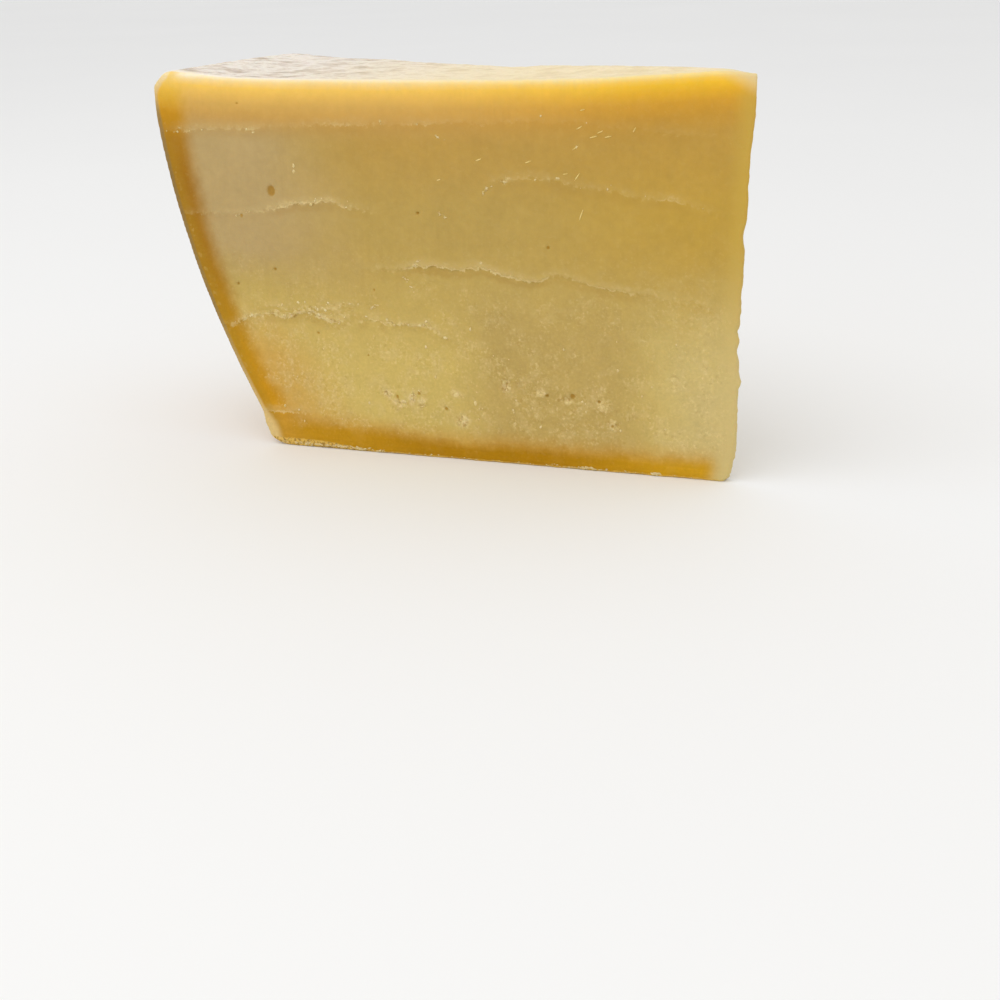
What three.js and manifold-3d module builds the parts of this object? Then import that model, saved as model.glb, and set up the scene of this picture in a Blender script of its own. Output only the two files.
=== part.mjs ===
// A chunk of hard grating cheese: one sixteenth of a low wheel, split down to its middle.
// Millimetres, +Z up. The long cut face lies along X and looks towards -Y. The rind is at -X
// and the blunt tip at +X. The origin is on the base, under the middle of the chunk's box.
// While it is shaped, the wheel's axis is Z and the long cut lies in the plane y = 0.

import * as THREE from 'three';
import { mergeVertices } from 'three/addons/utils/BufferGeometryUtils.js';
import Module from 'manifold-3d';

const { clamp, degToRad, lerp, smoothstep } = THREE.MathUtils;

// The wheel that the chunk comes from.
const WHEEL_RADIUS = 205.8;         // at its widest
const WIDEST_HEIGHT = 136.7;        // where the barrel side would be widest, just over the top
const BARREL_BULGE_RADIUS = 245.5;  // how the side curves in towards the base
const FOOT_FLARE = 2.4;             // the side stands out again in its last few millimetres
const FOOT_FLARE_HEIGHT = 5;
const RIM_ROUND = 7;                // rounding between the side and the top
const FOOT_ROUND = 3.5;             // rounding between the side and the base
const TOP_HEIGHT = 125.3;           // the top at its lowest, half way out
const TOP_HUMP = 3.4;               // how much the top rises over the wheel's middle
const TOP_HUMP_REACH = 45;
const TOP_LIP = 2;                  // and how much towards the rim
const TOP_LIP_REACH = 25;

// The two cuts, and the point that has broken off where they meet.
const WEDGE_ANGLE = degToRad(22.5);
const TIP_TRIM = 4.3;               // what is missing at the top, measured from the axis
const TIP_LEAN = 2.8;               // and how much more is missing further down
const TIP_LEAN_HEIGHT = 73;
const TIP_FOOT_LOSS = 2.3;          // the lowest corner is worn away further
const TIP_FOOT_HEIGHT = 18;
const TIP_ARRIS_LOSS = 0.8;         // both cut faces crumble towards the tip
const TIP_ARRIS_REACH = 9;
// Chips along the tip: height, half of their own height, and depth, which is negative on a spur.
const TIP_CHIPS = [
  [78, 4, 0.3],
  [60, 5, 0.25],
  [49.5, 3.5, 0.9],
  [38.5, 3, 0.3],
  [33.5, 3, -0.9],
  [26, 4, 0.25],
];
const TIP_ROUGHNESS = 0.35;

// Where the paste parted along its grain. A line is a run of [distance from the axis, height].
// A ledge is the depth of the step that the knife left there, and its reach is how far the step
// fades out below the line. Above the line the step is twice as steep.
const FRONT_FRACTURES = [
  { line: [[203, 108], [178, 108.6], [133, 111.6], [78, 112.8], [21, 109.6]], ledge: 0.35, reach: 3 },
  { line: [[199, 80.9], [170, 81.6], [158, 85.4], [143, 86.6], [128, 83]], ledge: 0.6, reach: 4 },
  { line: [[92, 88], [81, 95], [67, 94.4], [45, 92.2], [18, 86.8]], ledge: 0.45, reach: 3.5 },
  { line: [[134, 63.6], [115, 67.2], [90, 66.6], [76, 63.2], [64, 65], [14, 56.6]], ledge: 1.1, reach: 5 },
  { line: [[187, 41.4], [174, 47.4], [156, 48.6], [117, 46.2], [99, 39.8]], ledge: 0.9, reach: 4.5 },
  { line: [[175, 11.9], [164, 13], [156, 12.6]], ledge: 0.4, reach: 3 },
];
const BACK_FRACTURES = [
  { line: [[204, 104], [168, 106.2], [120, 104.6], [66, 107], [24, 103.8]], ledge: 0.5, reach: 3.5 },
  { line: [[150, 78], [128, 82.4], [104, 80.2], [80, 83], [58, 79.4]], ledge: 1, reach: 4.5 },
  { line: [[196, 64.2], [178, 61.4], [160, 64.6], [141, 60.8]], ledge: 0.6, reach: 4 },
  { line: [[112, 50.6], [93, 54.4], [70, 51.6], [49, 55.8], [17, 51.2]], ledge: 0.8, reach: 4.5 },
  { line: [[182, 32.4], [158, 28.8], [136, 31.8], [112, 27.4], [90, 30]], ledge: 0.9, reach: 4.5 },
];

// Places where small grains fell out: their middle, half their width and height, how many pits
// they have, and the deepest.
const FRONT_CRUMBLED = [
  { at: [114, 18.5], half: [19, 7], pits: 9, depth: 1.1 },
  { at: [66, 22], half: [23, 8], pits: 12, depth: 1.2 },
  { at: [160, 52], half: [22, 8], pits: 5, depth: 0.7 },
];
const BACK_CRUMBLED = [
  { at: [152, 44], half: [20, 9], pits: 9, depth: 1.1 },
  { at: [84, 22], half: [26, 8], pits: 12, depth: 1.2 },
];
const PIT_RADIUS = [1.6, 3.2];      // the smallest and the largest

// Single round eyes: distance from the axis, height, radius and depth.
const FRONT_EYES = [
  [165, 89.4, 1.9, 1.3],
  [165.6, 63.1, 1.3, 0.8],
  [180.2, 57.3, 1.3, 0.8],
  [112.8, 83.7, 1.4, 0.7],
];
const BACK_EYES = [
  [131, 93, 1.9, 1.2],
  [96, 66, 1.4, 0.8],
  [58, 37, 1.5, 0.9],
];

// How finely the surfaces are drawn.
const FRONT_STEP = 3.2;
const BACK_STEP = 4.4;
const TIP_STEPS = { across: 1.5, up: 2.6 };
const RIND_STEPS = 12;              // facets round the rind of one chunk
const SIDE_STEPS = 22;
const TOP_STEPS = 18;
const ROUNDING_STEPS = 6;
const FRACTURE_STEPS = 80;

// The cutters reach past the wheel by the overlap, and the sector's sides by the margin.
const CUTTER_DEPTH = 60;
const CUTTER_OVERLAP = 12;
const SECTOR_MARGIN = degToRad(4);

const CHEESE = { color: 0xc9a055, roughness: 0.55, metalness: 0 };

/** A repeatable stream of numbers from 0 to 1. */
function seededRandom(seed) {
  let state = seed >>> 0;
  return () => {
    state = (Math.imul(state, 1664525) + 1013904223) >>> 0;
    return state / 2 ** 32;
  };
}

/** The wheel's radius at a height, along its barrel side. */
function sideRadius(height) {
  const below = WIDEST_HEIGHT - height;
  return WHEEL_RADIUS - below * below / (2 * BARREL_BULGE_RADIUS)
    + FOOT_FLARE * Math.exp(-height / FOOT_FLARE_HEIGHT);
}

/** The height of the top at a distance from the axis. */
function topHeight(radius) {
  const hump = TOP_HUMP * Math.exp(-((radius / TOP_HUMP_REACH) ** 2));
  const lip = TOP_LIP * Math.exp(-(((WHEEL_RADIUS - radius) / TOP_LIP_REACH) ** 2));
  return TOP_HEIGHT + hump + lip;
}

/** Points along a rounded corner of the section, from one direction to another. */
function roundCorner(centre, radius, startAngle, endAngle) {
  const arc = new THREE.EllipseCurve(centre.x, centre.y, radius, radius, startAngle, endAngle);
  return arc.getPoints(ROUNDING_STEPS);
}

/** The whole wheel: half of its section, turned about the axis. */
function wheelGeometry() {
  const footCentre = new THREE.Vector2(sideRadius(FOOT_ROUND) - FOOT_ROUND, FOOT_ROUND);
  const rimStart = topHeight(WHEEL_RADIUS) - RIM_ROUND;
  const rimCentre = new THREE.Vector2(sideRadius(rimStart) - RIM_ROUND, rimStart);
  const profile = [new THREE.Vector2(0, 0)];
  profile.push(...roundCorner(footCentre, FOOT_ROUND, -Math.PI / 2, 0));
  for (let i = 1; i < SIDE_STEPS; i += 1) {
    const height = lerp(FOOT_ROUND, rimStart, i / SIDE_STEPS);
    profile.push(new THREE.Vector2(sideRadius(height), height));
  }
  profile.push(...roundCorner(rimCentre, RIM_ROUND, 0, Math.PI / 2));
  for (let i = 1; i < TOP_STEPS; i += 1) {
    const radius = rimCentre.x * (1 - i / TOP_STEPS);
    profile.push(new THREE.Vector2(radius, topHeight(radius)));
  }
  profile.push(new THREE.Vector2(0, topHeight(0)));
  const chunksInWheel = Math.round(2 * Math.PI / WEDGE_ANGLE);
  const wheel = new THREE.LatheGeometry(profile, chunksInWheel * RIND_STEPS);
  wheel.rotateX(Math.PI / 2);
  return wheel;
}

/** A tall prism a little wider than the chunk, which takes its sector out of the wheel. */
function sectorGeometry() {
  const reach = 1.2 * WHEEL_RADIUS;
  const farAngle = WEDGE_ANGLE + SECTOR_MARGIN;
  const sector = new THREE.Shape();
  sector.moveTo(CUTTER_OVERLAP, -CUTTER_OVERLAP);
  sector.lineTo(-reach, -reach * Math.sin(SECTOR_MARGIN));
  sector.lineTo(-reach * Math.cos(farAngle), reach * Math.sin(farAngle));
  sector.lineTo(CUTTER_OVERLAP, CUTTER_OVERLAP);
  sector.closePath();
  const prism = new THREE.ExtrudeGeometry(sector, {
    depth: TOP_HEIGHT + 2 * CUTTER_OVERLAP,
    bevelEnabled: false,
  });
  prism.translate(0, 0, -CUTTER_OVERLAP);
  return prism;
}

/** How far the step of one fracture lies below the cut plane at a place on it. */
function ledgeDepth({ points, ledge, reach }, here) {
  let nearest = Infinity;
  let above = 0;
  for (const point of points) {
    const distance = here.distanceTo(point);
    if (distance < nearest) {
      nearest = distance;
      above = here.y - point.y;
    }
  }
  const span = above > 0 ? reach / 2 : reach;
  return ledge * Math.max(0, 1 - nearest / span);
}

/** The fractures with their lines drawn out, ready to be measured against. */
function drawFractures(fractures) {
  return fractures.map(({ line, ledge, reach }) => {
    const curve = new THREE.SplineCurve(line.map(([x, y]) => new THREE.Vector2(x, y)));
    return { points: curve.getPoints(FRACTURE_STEPS), ledge, reach };
  });
}

/** The eyes, and the small pits that lie at random in the crumbled places. */
function drawPits(places, eyes, seed) {
  const random = seededRandom(seed);
  const pits = eyes.map(([across, height, radius, depth]) => (
    { at: new THREE.Vector2(across, height), radius, depth }
  ));
  for (const { at, half, pits: count, depth } of places) {
    for (let i = 0; i < count; i += 1) {
      const across = at[0] + lerp(-half[0], half[0], random());
      const height = at[1] + lerp(-half[1], half[1], random());
      pits.push({
        at: new THREE.Vector2(across, height),
        radius: lerp(...PIT_RADIUS, random()),
        depth: depth * lerp(0.4, 1, random()),
      });
    }
  }
  return pits;
}

/** A function of distance from the axis and height: how far the paste is below the cut plane. */
function makeRelief({ fractures, crumbled, eyes, seed }) {
  const lines = drawFractures(fractures);
  const pits = drawPits(crumbled, eyes, seed);
  return (across, height) => {
    const here = new THREE.Vector2(across, height);
    let depth = 0;
    for (const line of lines) {
      depth += ledgeDepth(line, here);
    }
    for (const pit of pits) {
      const distance = Math.min(1, here.distanceTo(pit.at) / pit.radius);
      depth = Math.max(depth, pit.depth * (1 - distance * distance));
    }
    const nearTip = clamp(1 - (across - TIP_TRIM) / TIP_ARRIS_REACH, 0, 1);
    return depth + TIP_ARRIS_LOSS * nearTip * nearTip;
  };
}

/** A slab below y = 0 whose upper face, which looks to +Y, carries the relief of a cut. */
function frontCutter(relief, step = FRONT_STEP) {
  const width = WHEEL_RADIUS + 2 * CUTTER_OVERLAP;
  const height = TOP_HEIGHT + 2 * CUTTER_OVERLAP;
  const columns = Math.round(width / step);
  const rows = Math.round(height / step);
  const slab = new THREE.BoxGeometry(width, CUTTER_DEPTH, height, columns, 1, rows);
  slab.translate(CUTTER_OVERLAP - width / 2, -CUTTER_DEPTH / 2, height / 2 - CUTTER_OVERLAP);
  const position = slab.attributes.position;
  for (let i = 0; i < position.count; i += 1) {
    if (position.getY(i) > -CUTTER_DEPTH / 2) {
      position.setY(i, relief(-position.getX(i), position.getZ(i)));
    }
  }
  return slab;
}

/** The same kind of slab, mirrored and turned to the second cut. */
function backCutter(relief) {
  const slab = frontCutter(relief, BACK_STEP);
  slab.scale(1, -1, 1);
  const corners = slab.index.array;
  for (let i = 0; i < corners.length; i += 3) {
    [corners[i], corners[i + 1]] = [corners[i + 1], corners[i]];
  }
  slab.rotateZ(-WEDGE_ANGLE);
  return slab;
}

/** How much of the wheel's middle is missing at a height. */
function tipTrim(height) {
  const down = clamp((TOP_HEIGHT - height) / TIP_LEAN_HEIGHT, 0, 1);
  const foot = clamp(1 - height / TIP_FOOT_HEIGHT, 0, 1);
  let trim = TIP_TRIM + TIP_LEAN * down + TIP_FOOT_LOSS * foot * foot;
  for (const [at, half, loss] of TIP_CHIPS) {
    trim += loss * (1 - smoothstep(Math.abs(height - at), 0, half));
  }
  return trim;
}

/** The block that takes the fragile point off, with a broken face. */
function tipCutter() {
  const width = 2 * CUTTER_OVERLAP;
  const height = TOP_HEIGHT + 2 * CUTTER_OVERLAP;
  const columns = Math.round(width / TIP_STEPS.across);
  const rows = Math.round(height / TIP_STEPS.up);
  const block = new THREE.BoxGeometry(CUTTER_DEPTH, width, height, 1, columns, rows);
  block.translate(CUTTER_DEPTH / 2, 0, height / 2 - CUTTER_OVERLAP);
  const random = seededRandom(11);
  const roughness = new Map();
  const position = block.attributes.position;
  for (let i = 0; i < position.count; i += 1) {
    if (position.getX(i) < CUTTER_DEPTH / 2) {
      const up = position.getZ(i);
      // The corners of neighbouring faces coincide, so each place is roughened once.
      const place = `${position.getY(i).toFixed(3)} ${up.toFixed(3)}`;
      if (!roughness.has(place)) {
        roughness.set(place, TIP_ROUGHNESS * random());
      }
      position.setX(i, -tipTrim(up) - roughness.get(place));
    }
  }
  return block;
}

const wasm = await Module();
wasm.setup();

/** A three.js geometry as a solid that can be joined and cut. */
function solidOf(geometry) {
  const bare = geometry.clone();
  bare.deleteAttribute('normal');
  bare.deleteAttribute('uv');
  const merged = mergeVertices(bare, 1e-4);
  return new wasm.Manifold(new wasm.Mesh({
    numProp: 3,
    vertProperties: new Float32Array(merged.attributes.position.array),
    triVerts: new Uint32Array(merged.index.array),
  }));
}

/** A solid as a three.js geometry. */
function geometryOf(solid) {
  const { vertProperties, triVerts } = solid.getMesh();
  const geometry = new THREE.BufferGeometry();
  geometry.setAttribute('position', new THREE.BufferAttribute(vertProperties, 3));
  geometry.setIndex(new THREE.BufferAttribute(triVerts, 1));
  geometry.computeVertexNormals();
  geometry.computeBoundingBox();
  return geometry;
}

/** The chunk, with the middle of its base's box at the origin. */
function makeChunk() {
  const frontRelief = makeRelief({
    fractures: FRONT_FRACTURES, crumbled: FRONT_CRUMBLED, eyes: FRONT_EYES, seed: 5,
  });
  const backRelief = makeRelief({
    fractures: BACK_FRACTURES, crumbled: BACK_CRUMBLED, eyes: BACK_EYES, seed: 23,
  });
  const solid = solidOf(wheelGeometry())
    .intersect(solidOf(sectorGeometry()))
    .subtract(solidOf(frontCutter(frontRelief)))
    .subtract(solidOf(backCutter(backRelief)))
    .subtract(solidOf(tipCutter()));
  const geometry = geometryOf(solid);
  const middle = geometry.boundingBox.getCenter(new THREE.Vector3());
  const chunk = new THREE.Mesh(geometry, new THREE.MeshStandardMaterial(CHEESE));
  chunk.name = 'cheese_chunk';
  chunk.position.set(-middle.x, -middle.y, -geometry.boundingBox.min.z);
  return chunk;
}

const part = new THREE.Group();
part.add(makeChunk());

export default part;
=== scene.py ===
"""A chunk of hard grating cheese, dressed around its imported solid.

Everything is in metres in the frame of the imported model: +Z is up, the long cut face lies along X
and looks towards -Y, the rind is at -X and the blunt tip at +X.
"""

from __future__ import annotations

import logging
import math
from collections.abc import Callable
from dataclasses import dataclass, field
from enum import Enum

import bpy
import numpy as np
from mathutils import Matrix, Vector
from mathutils.bvhtree import BVHTree

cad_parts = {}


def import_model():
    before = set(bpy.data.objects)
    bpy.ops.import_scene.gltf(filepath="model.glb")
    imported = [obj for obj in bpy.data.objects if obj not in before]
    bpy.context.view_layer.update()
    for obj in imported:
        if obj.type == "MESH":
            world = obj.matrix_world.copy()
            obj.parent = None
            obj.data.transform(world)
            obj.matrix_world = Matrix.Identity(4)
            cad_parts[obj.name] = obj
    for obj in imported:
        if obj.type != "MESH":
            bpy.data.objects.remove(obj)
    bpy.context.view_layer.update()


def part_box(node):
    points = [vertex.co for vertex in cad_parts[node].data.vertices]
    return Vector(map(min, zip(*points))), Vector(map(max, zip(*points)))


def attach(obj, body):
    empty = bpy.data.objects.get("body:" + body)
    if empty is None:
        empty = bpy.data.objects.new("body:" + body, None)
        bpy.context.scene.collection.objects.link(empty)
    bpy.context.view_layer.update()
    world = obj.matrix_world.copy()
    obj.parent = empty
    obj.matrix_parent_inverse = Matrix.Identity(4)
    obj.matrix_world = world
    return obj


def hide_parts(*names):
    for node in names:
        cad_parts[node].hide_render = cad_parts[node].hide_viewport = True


LOG = logging.getLogger("cheese")

MM = 0.001
NODE = "cheese_chunk"
BODY = "root"
FAR = 50 * MM                      # farther than any relief reaches

Colour = tuple[float, float, float]
Row = tuple[float, ...]


def paint(red: int, green: int, blue: int) -> Colour:
    """Turns a screen colour into the linear colour that a shader takes.

    Args:
        red, green, blue: the colour's parts, from 0 to 255.

    Returns:
        The same colour in linear light, from 0 to 1.
    """
    def linear(part: int) -> float:
        share = part / 255
        return share / 12.92 if share <= 0.04045 else ((share + 0.055) / 1.055) ** 2.4
    return linear(red), linear(green), linear(blue)


def smooth(value: np.ndarray, low: float, high: float) -> np.ndarray:
    """Rises smoothly from 0 at low to 1 at high, or falls where low is the larger."""
    share = np.clip((value - low) / (high - low), 0, 1)
    return share * share * (3 - 2 * share)


# ---------------------------------------------------------------------------------------------
# The wheel and its cuts


class Surface(Enum):
    """The six surfaces of the chunk."""

    FRONT = "front"
    BACK = "back"
    TIP = "tip"
    TOP = "top"
    BASE = "base"
    SIDE = "side"


@dataclass(frozen=True)
class Cut:
    """One of the two long cuts: a plane through the wheel's axis.

    Attributes:
        foot: where the axis meets the base.
        along: the level direction from the axis to the rind.
        outward: the direction out of the chunk.
    """

    foot: Vector
    along: Vector
    outward: Vector

    def at(self, across: float, height: float) -> Vector:
        """The place on the cut at a distance from the axis and a height."""
        return self.foot + self.along * across + Vector((0, 0, height))


@dataclass(frozen=True)
class Wheel:
    """The wheel that the chunk is cut from, standing on its base with its axis upright.

    Lengths named height are above the base, and those named radius are from the axis.
    """

    axis: Vector
    widest_radius: float = 205.8 * MM
    widest_height: float = 136.7 * MM
    bulge_radius: float = 245.5 * MM
    foot_flare: float = 2.4 * MM
    foot_flare_height: float = 5 * MM
    rim_round: float = 7 * MM
    foot_round: float = 3.5 * MM
    top_height: float = 125.3 * MM
    hump: float = 3.4 * MM         # how far the top rises at the axis
    hump_reach: float = 45 * MM
    lip: float = 2 * MM            # how far it rises at the rim
    lip_reach: float = 25 * MM
    wedge_angle: float = math.radians(22.5)
    tip_trim: float = 4.3 * MM     # how much of the point is missing at the top
    tip_lean: float = 2.8 * MM     # how much more is missing lower down
    tip_lean_height: float = 73 * MM
    tip_foot_loss: float = 2.3 * MM
    tip_foot_height: float = 18 * MM
    # Chips along the tip, in millimetres: height, half of their own height, and depth, which is
    # negative on a spur.
    tip_chips: tuple[Row, ...] = (
        (78, 4, 0.3), (60, 5, 0.25), (49.5, 3.5, 0.9), (38.5, 3, 0.3), (33.5, 3, -0.9),
        (26, 4, 0.25),
    )

    @classmethod
    def around(cls, low: Vector, high: Vector) -> "Wheel":
        """Places the wheel by the chunk's box.

        Args:
            low: the box's lowest corner, which has the rim and the long cut.
            high: its highest corner, which is not used.

        Returns:
            The wheel, with its rim touching the low end of X and the long cut at the low Y.
        """
        trial = cls(axis=Vector((0, 0, 0)))
        rim_height = float(trial.top(trial.widest_radius)) - trial.rim_round
        reach = float(trial.side(rim_height))
        return cls(axis=Vector((low.x + reach, low.y, low.z)))

    def side(self, height: np.ndarray | float) -> np.ndarray:
        """The radius of the barrel side at a height."""
        below = self.widest_height - height
        flare = self.foot_flare * np.exp(-np.asarray(height) / self.foot_flare_height)
        return self.widest_radius - below * below / (2 * self.bulge_radius) + flare

    def top(self, radius: np.ndarray | float) -> np.ndarray:
        """The height of the top, which rises a little at the axis and at the rim.

        Args:
            radius: the distance from the axis.

        Returns:
            The height above the base.
        """
        hump = self.hump * np.exp(-((np.asarray(radius) / self.hump_reach) ** 2))
        inward = self.widest_radius - np.asarray(radius)
        lip = self.lip * np.exp(-((inward / self.lip_reach) ** 2))
        return self.top_height + hump + lip

    def trim(self, height: np.ndarray) -> np.ndarray:
        """How much of the wedge's point is missing.

        Args:
            height: the height above the base.

        Returns:
            How far the blunt tip lies from the axis there.
        """
        down = np.clip((self.top_height - height) / self.tip_lean_height, 0, 1)
        foot = np.clip(1 - height / self.tip_foot_height, 0, 1)
        trim = self.tip_trim + self.tip_lean * down + self.tip_foot_loss * foot * foot
        for at, half, loss in self.tip_chips:
            away = np.abs(height - at * MM)
            trim = trim + loss * MM * (1 - smooth(away, 0, half * MM))
        return trim

    def cut(self, surface: Surface) -> Cut:
        """The long cut on one side of the chunk.

        Args:
            surface: which of the two, FRONT or BACK.

        Returns:
            Its plane.
        """
        angle = self.wedge_angle
        if surface is Surface.FRONT:
            return Cut(self.axis, Vector((-1, 0, 0)), Vector((0, -1, 0)))
        along = Vector((-math.cos(angle), math.sin(angle), 0))
        return Cut(self.axis, along, Vector((math.sin(angle), math.cos(angle), 0)))


# ---------------------------------------------------------------------------------------------
# Relief of the cut faces


@dataclass(frozen=True)
class SmoothNoise:
    """Seeded noise that changes smoothly in space and stays between -1 and 1."""

    seed: int
    size: float
    octaves: int = 1

    def lattice(self, corner: np.ndarray, layer: int) -> np.ndarray:
        """A fixed random number for each whole-numbered place.

        Args:
            corner: the places, one to a row.
            layer: the octave, which has numbers of its own.

        Returns:
            One number from -1 to 1 for each place.
        """
        # Multiplying by large odd numbers and folding the high bits down scrambles the places.
        mixed = corner.astype(np.int64) @ np.array([73856093, 19349663, 83492791])
        mixed = (mixed ^ (self.seed * 2654435761 + layer * 40503)) & 0xFFFFFFFF
        mixed = ((mixed ^ (mixed >> 15)) * 0x2C1B3C6D) & 0xFFFFFFFF
        mixed = ((mixed ^ (mixed >> 12)) * 0x297A2D39) & 0xFFFFFFFF
        return ((mixed ^ (mixed >> 15)) & 0xFFFFFF) / 0x7FFFFF - 1

    def __call__(self, points: np.ndarray) -> np.ndarray:
        """The noise at some points.

        Args:
            points: an array of places, one to a row, with three columns.

        Returns:
            One number from -1 to 1 for each place.
        """
        total = np.zeros(len(points))
        weight = 0.0
        for layer in range(self.octaves):
            share = 0.5 ** layer
            scaled = points / (self.size * share)
            base = np.floor(scaled)
            part = scaled - base
            # This curve has no slope and no bend at 0 and 1, so the cells meet smoothly.
            part = part * part * part * (part * (part * 6 - 15) + 10)
            for index in range(8):
                step = np.array([index & 1, index >> 1 & 1, index >> 2 & 1])
                blend = np.where(step, part, 1 - part).prod(1)
                total += share * blend * self.lattice(base + step, layer)
            weight += share
        return total / weight


@dataclass(frozen=True)
class Fracture:
    """A line along which the paste parted, and the low step that the knife left there.

    Attributes:
        line: places on the line, each a distance from the axis and a height in millimetres, and
            how open the line is there, from 0 to 1.
        ledge: how deep the step is.
        reach: how far the step fades out below the line.
        rag: how far the line strays from its course.
        flecked: 1 where the rim broke up into flecks and 0 where it is a soft smear.
    """

    line: tuple[Row, ...]
    ledge: float
    reach: float = 4 * MM
    rag: float = 0.5 * MM
    flecked: float = 1.0
    steps: int = 160
    softening: int = 5             # how many steps each bend of the line is spread over
    longest_fade: float = 5 * MM

    def course(self, across: np.ndarray) -> np.ndarray:
        """The course of the line, with its bends softened.

        Args:
            across: distances from the axis.

        Returns:
            The line's height at each.
        """
        places = np.array(sorted(self.line))
        steps = np.linspace(places[0, 0], places[-1, 0], self.steps)
        height = np.interp(steps, places[:, 0], places[:, 1])
        padded = np.pad(height, self.softening // 2, mode="edge")
        soft = np.convolve(padded, np.full(self.softening, 1 / self.softening), mode="valid")
        return np.interp(across / MM, steps, soft) * MM

    def presence(self, across: np.ndarray) -> np.ndarray:
        """How open the line is along its course.

        Args:
            across: distances from the axis.

        Returns:
            A share for each: 0 past the line's ends, and elsewhere up to 1.
        """
        places = np.array(sorted(self.line)) * (MM, MM, 1)
        fade = min(self.longest_fade, 0.15 * (places[-1, 0] - places[0, 0]))
        ends = smooth(across, places[0, 0] - fade, places[0, 0] + fade)
        ends = ends * smooth(across, places[-1, 0] + fade, places[-1, 0] - fade)
        return ends * np.interp(across, places[:, 0], places[:, 2])


@dataclass(frozen=True)
class Crumbled:
    """A place where small grains fell out of the paste.

    Attributes:
        across, height: its middle.
        half_width, half_height: how far it reaches.
        depth: its deepest pit.
        strength: how thick its grains lie, from 0 to 1.
    """

    across: float
    height: float
    half_width: float
    half_height: float
    depth: float
    strength: float = 1.0

    def mask(
        self, across: np.ndarray, height: np.ndarray, patches: np.ndarray, clumps: np.ndarray
    ) -> np.ndarray:
        """How much a place on the cut belongs to it.

        Args:
            across, height: where the place is.
            patches: a broad noise from -1 to 1 that bends the outline.
            clumps: a noise from 0 to 1 that breaks up a large place.

        Returns:
            A share from 0 to 1.
        """
        sideways = (across - self.across) / self.half_width
        upward = (height - self.height) / self.half_height + 0.3 * patches
        # Small places are whole, and large ones are broken up.
        whole = smooth(np.float64(self.half_width), 8 * MM, 5 * MM)
        inside = smooth(np.hypot(sideways, upward), 1.3, 0.2)
        return inside * np.maximum(clumps, whole) * self.strength

    @classmethod
    def listed(cls, *rows: Row) -> tuple["Crumbled", ...]:
        """Makes many, each from its lengths in millimetres and then its strength."""
        return tuple(cls(*(length * MM for length in row[:5]), *row[5:]) for row in rows)


@dataclass(frozen=True)
class Eye:
    """A small round hole in the paste: its place on the cut, its size and its depth."""

    across: float
    height: float
    radius: float
    depth: float
    tall: float = 1.0              # its height over its width

    def mask(self, across: np.ndarray, height: np.ndarray) -> np.ndarray:
        """How deep places lie in the hole.

        Args:
            across, height: where they are.

        Returns:
            A share for each, from 0 at the hole's edge to 1 at its floor.
        """
        upward = (height - self.height) / self.tall
        distance = np.hypot(across - self.across, upward) / self.radius
        return np.sqrt(np.clip(1 - distance * distance, 0, 1))

    @classmethod
    def listed(cls, *rows: Row) -> tuple["Eye", ...]:
        """Makes many, each from its lengths in millimetres and then how tall it is."""
        return tuple(cls(*(length * MM for length in row[:4]), *row[4:]) for row in rows)


@dataclass(frozen=True)
class CutRelief:
    """All that breaks the flatness of one cut face."""

    fractures: tuple[Fracture, ...]
    crumbled: tuple[Crumbled, ...]
    eyes: tuple[Eye, ...]
    seed: int
    crumb_tries: int               # how many places are tried for loose crumbs
    crystal_tries: int

    def survey(self, across: np.ndarray, height: np.ndarray) -> "CutSurvey":
        """Works out the relief at some places.

        Args:
            across: their distances from the axis, along the cut.
            height: their heights.

        Returns:
            What the relief comes to there.
        """
        flat = np.column_stack([across, height, np.full(len(across), self.seed * MM)])
        stray = SmoothNoise(self.seed + 1, 6 * MM, 4)(flat)
        flakes = SmoothNoise(self.seed + 2, 2.2 * MM, 3)(flat)
        grains = SmoothNoise(self.seed + 3, 1.5 * MM, 2)(flat)
        patches = SmoothNoise(self.seed + 4, 14 * MM, 2)(flat)
        clods = smooth(flakes + 0.6 * grains, 0.0, 0.45)
        found = CutSurvey.blank(len(across))
        for fracture in self.fractures:
            over = height - fracture.course(across) - fracture.rag * (2 * stray + 0.8 * grains)
            presence = fracture.presence(across)
            lively = presence * np.clip(0.85 + 0.5 * patches, 0.35, 1.15)
            below = np.where(over < 0, np.exp(np.minimum(over, 0) / fracture.reach), 0)
            # The lip over the step is crumbled back a little.
            lip = np.where(over >= 0, np.exp(-np.maximum(over, 0) / (0.8 * MM)), 0)
            broken = below * (0.85 + 0.3 * flakes) + lip * np.clip(0.1 + 0.5 * flakes, 0, 1)
            found.depth += fracture.ledge * lively * broken
            # Flecked rims are a chain of clods with pits between them.
            chain = np.exp(-(((over - 0.5 * MM) / (1.3 * MM)) ** 2)) * lively * fracture.flecked
            found.depth += 0.35 * fracture.ledge * chain * (0.5 - clods)
            nearer = np.abs(over) + FAR * (1 - smooth(presence, 0, 0.1)) < np.abs(found.above)
            found.above = np.where(nearer, np.clip(over, -FAR, FAR), found.above)
            beside = smooth(np.abs(over), 7 * MM, 4.5 * MM)
            found.open = np.where(nearer, lively * beside, found.open)
            found.flecked = np.where(nearer, fracture.flecked, found.flecked)
        clumps = smooth(SmoothNoise(self.seed + 6, 5 * MM, 3)(flat), -0.15, 0.3)
        for place in self.crumbled:
            mask = place.mask(across, height, patches, clumps)
            pits = smooth(-flakes - 0.6 * grains, 0.05, 0.6) * smooth(mask, 0, 0.6)
            found.depth += place.depth * mask * pits
            found.pit = np.maximum(found.pit, pits)
            found.crumbled = np.maximum(found.crumbled, mask)
        for eye in self.eyes:
            mask = eye.mask(across + 0.15 * MM * grains, height + 0.15 * MM * flakes)
            found.depth += eye.depth * mask
            found.hollow = np.maximum(found.hollow, mask)
        return found


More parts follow.
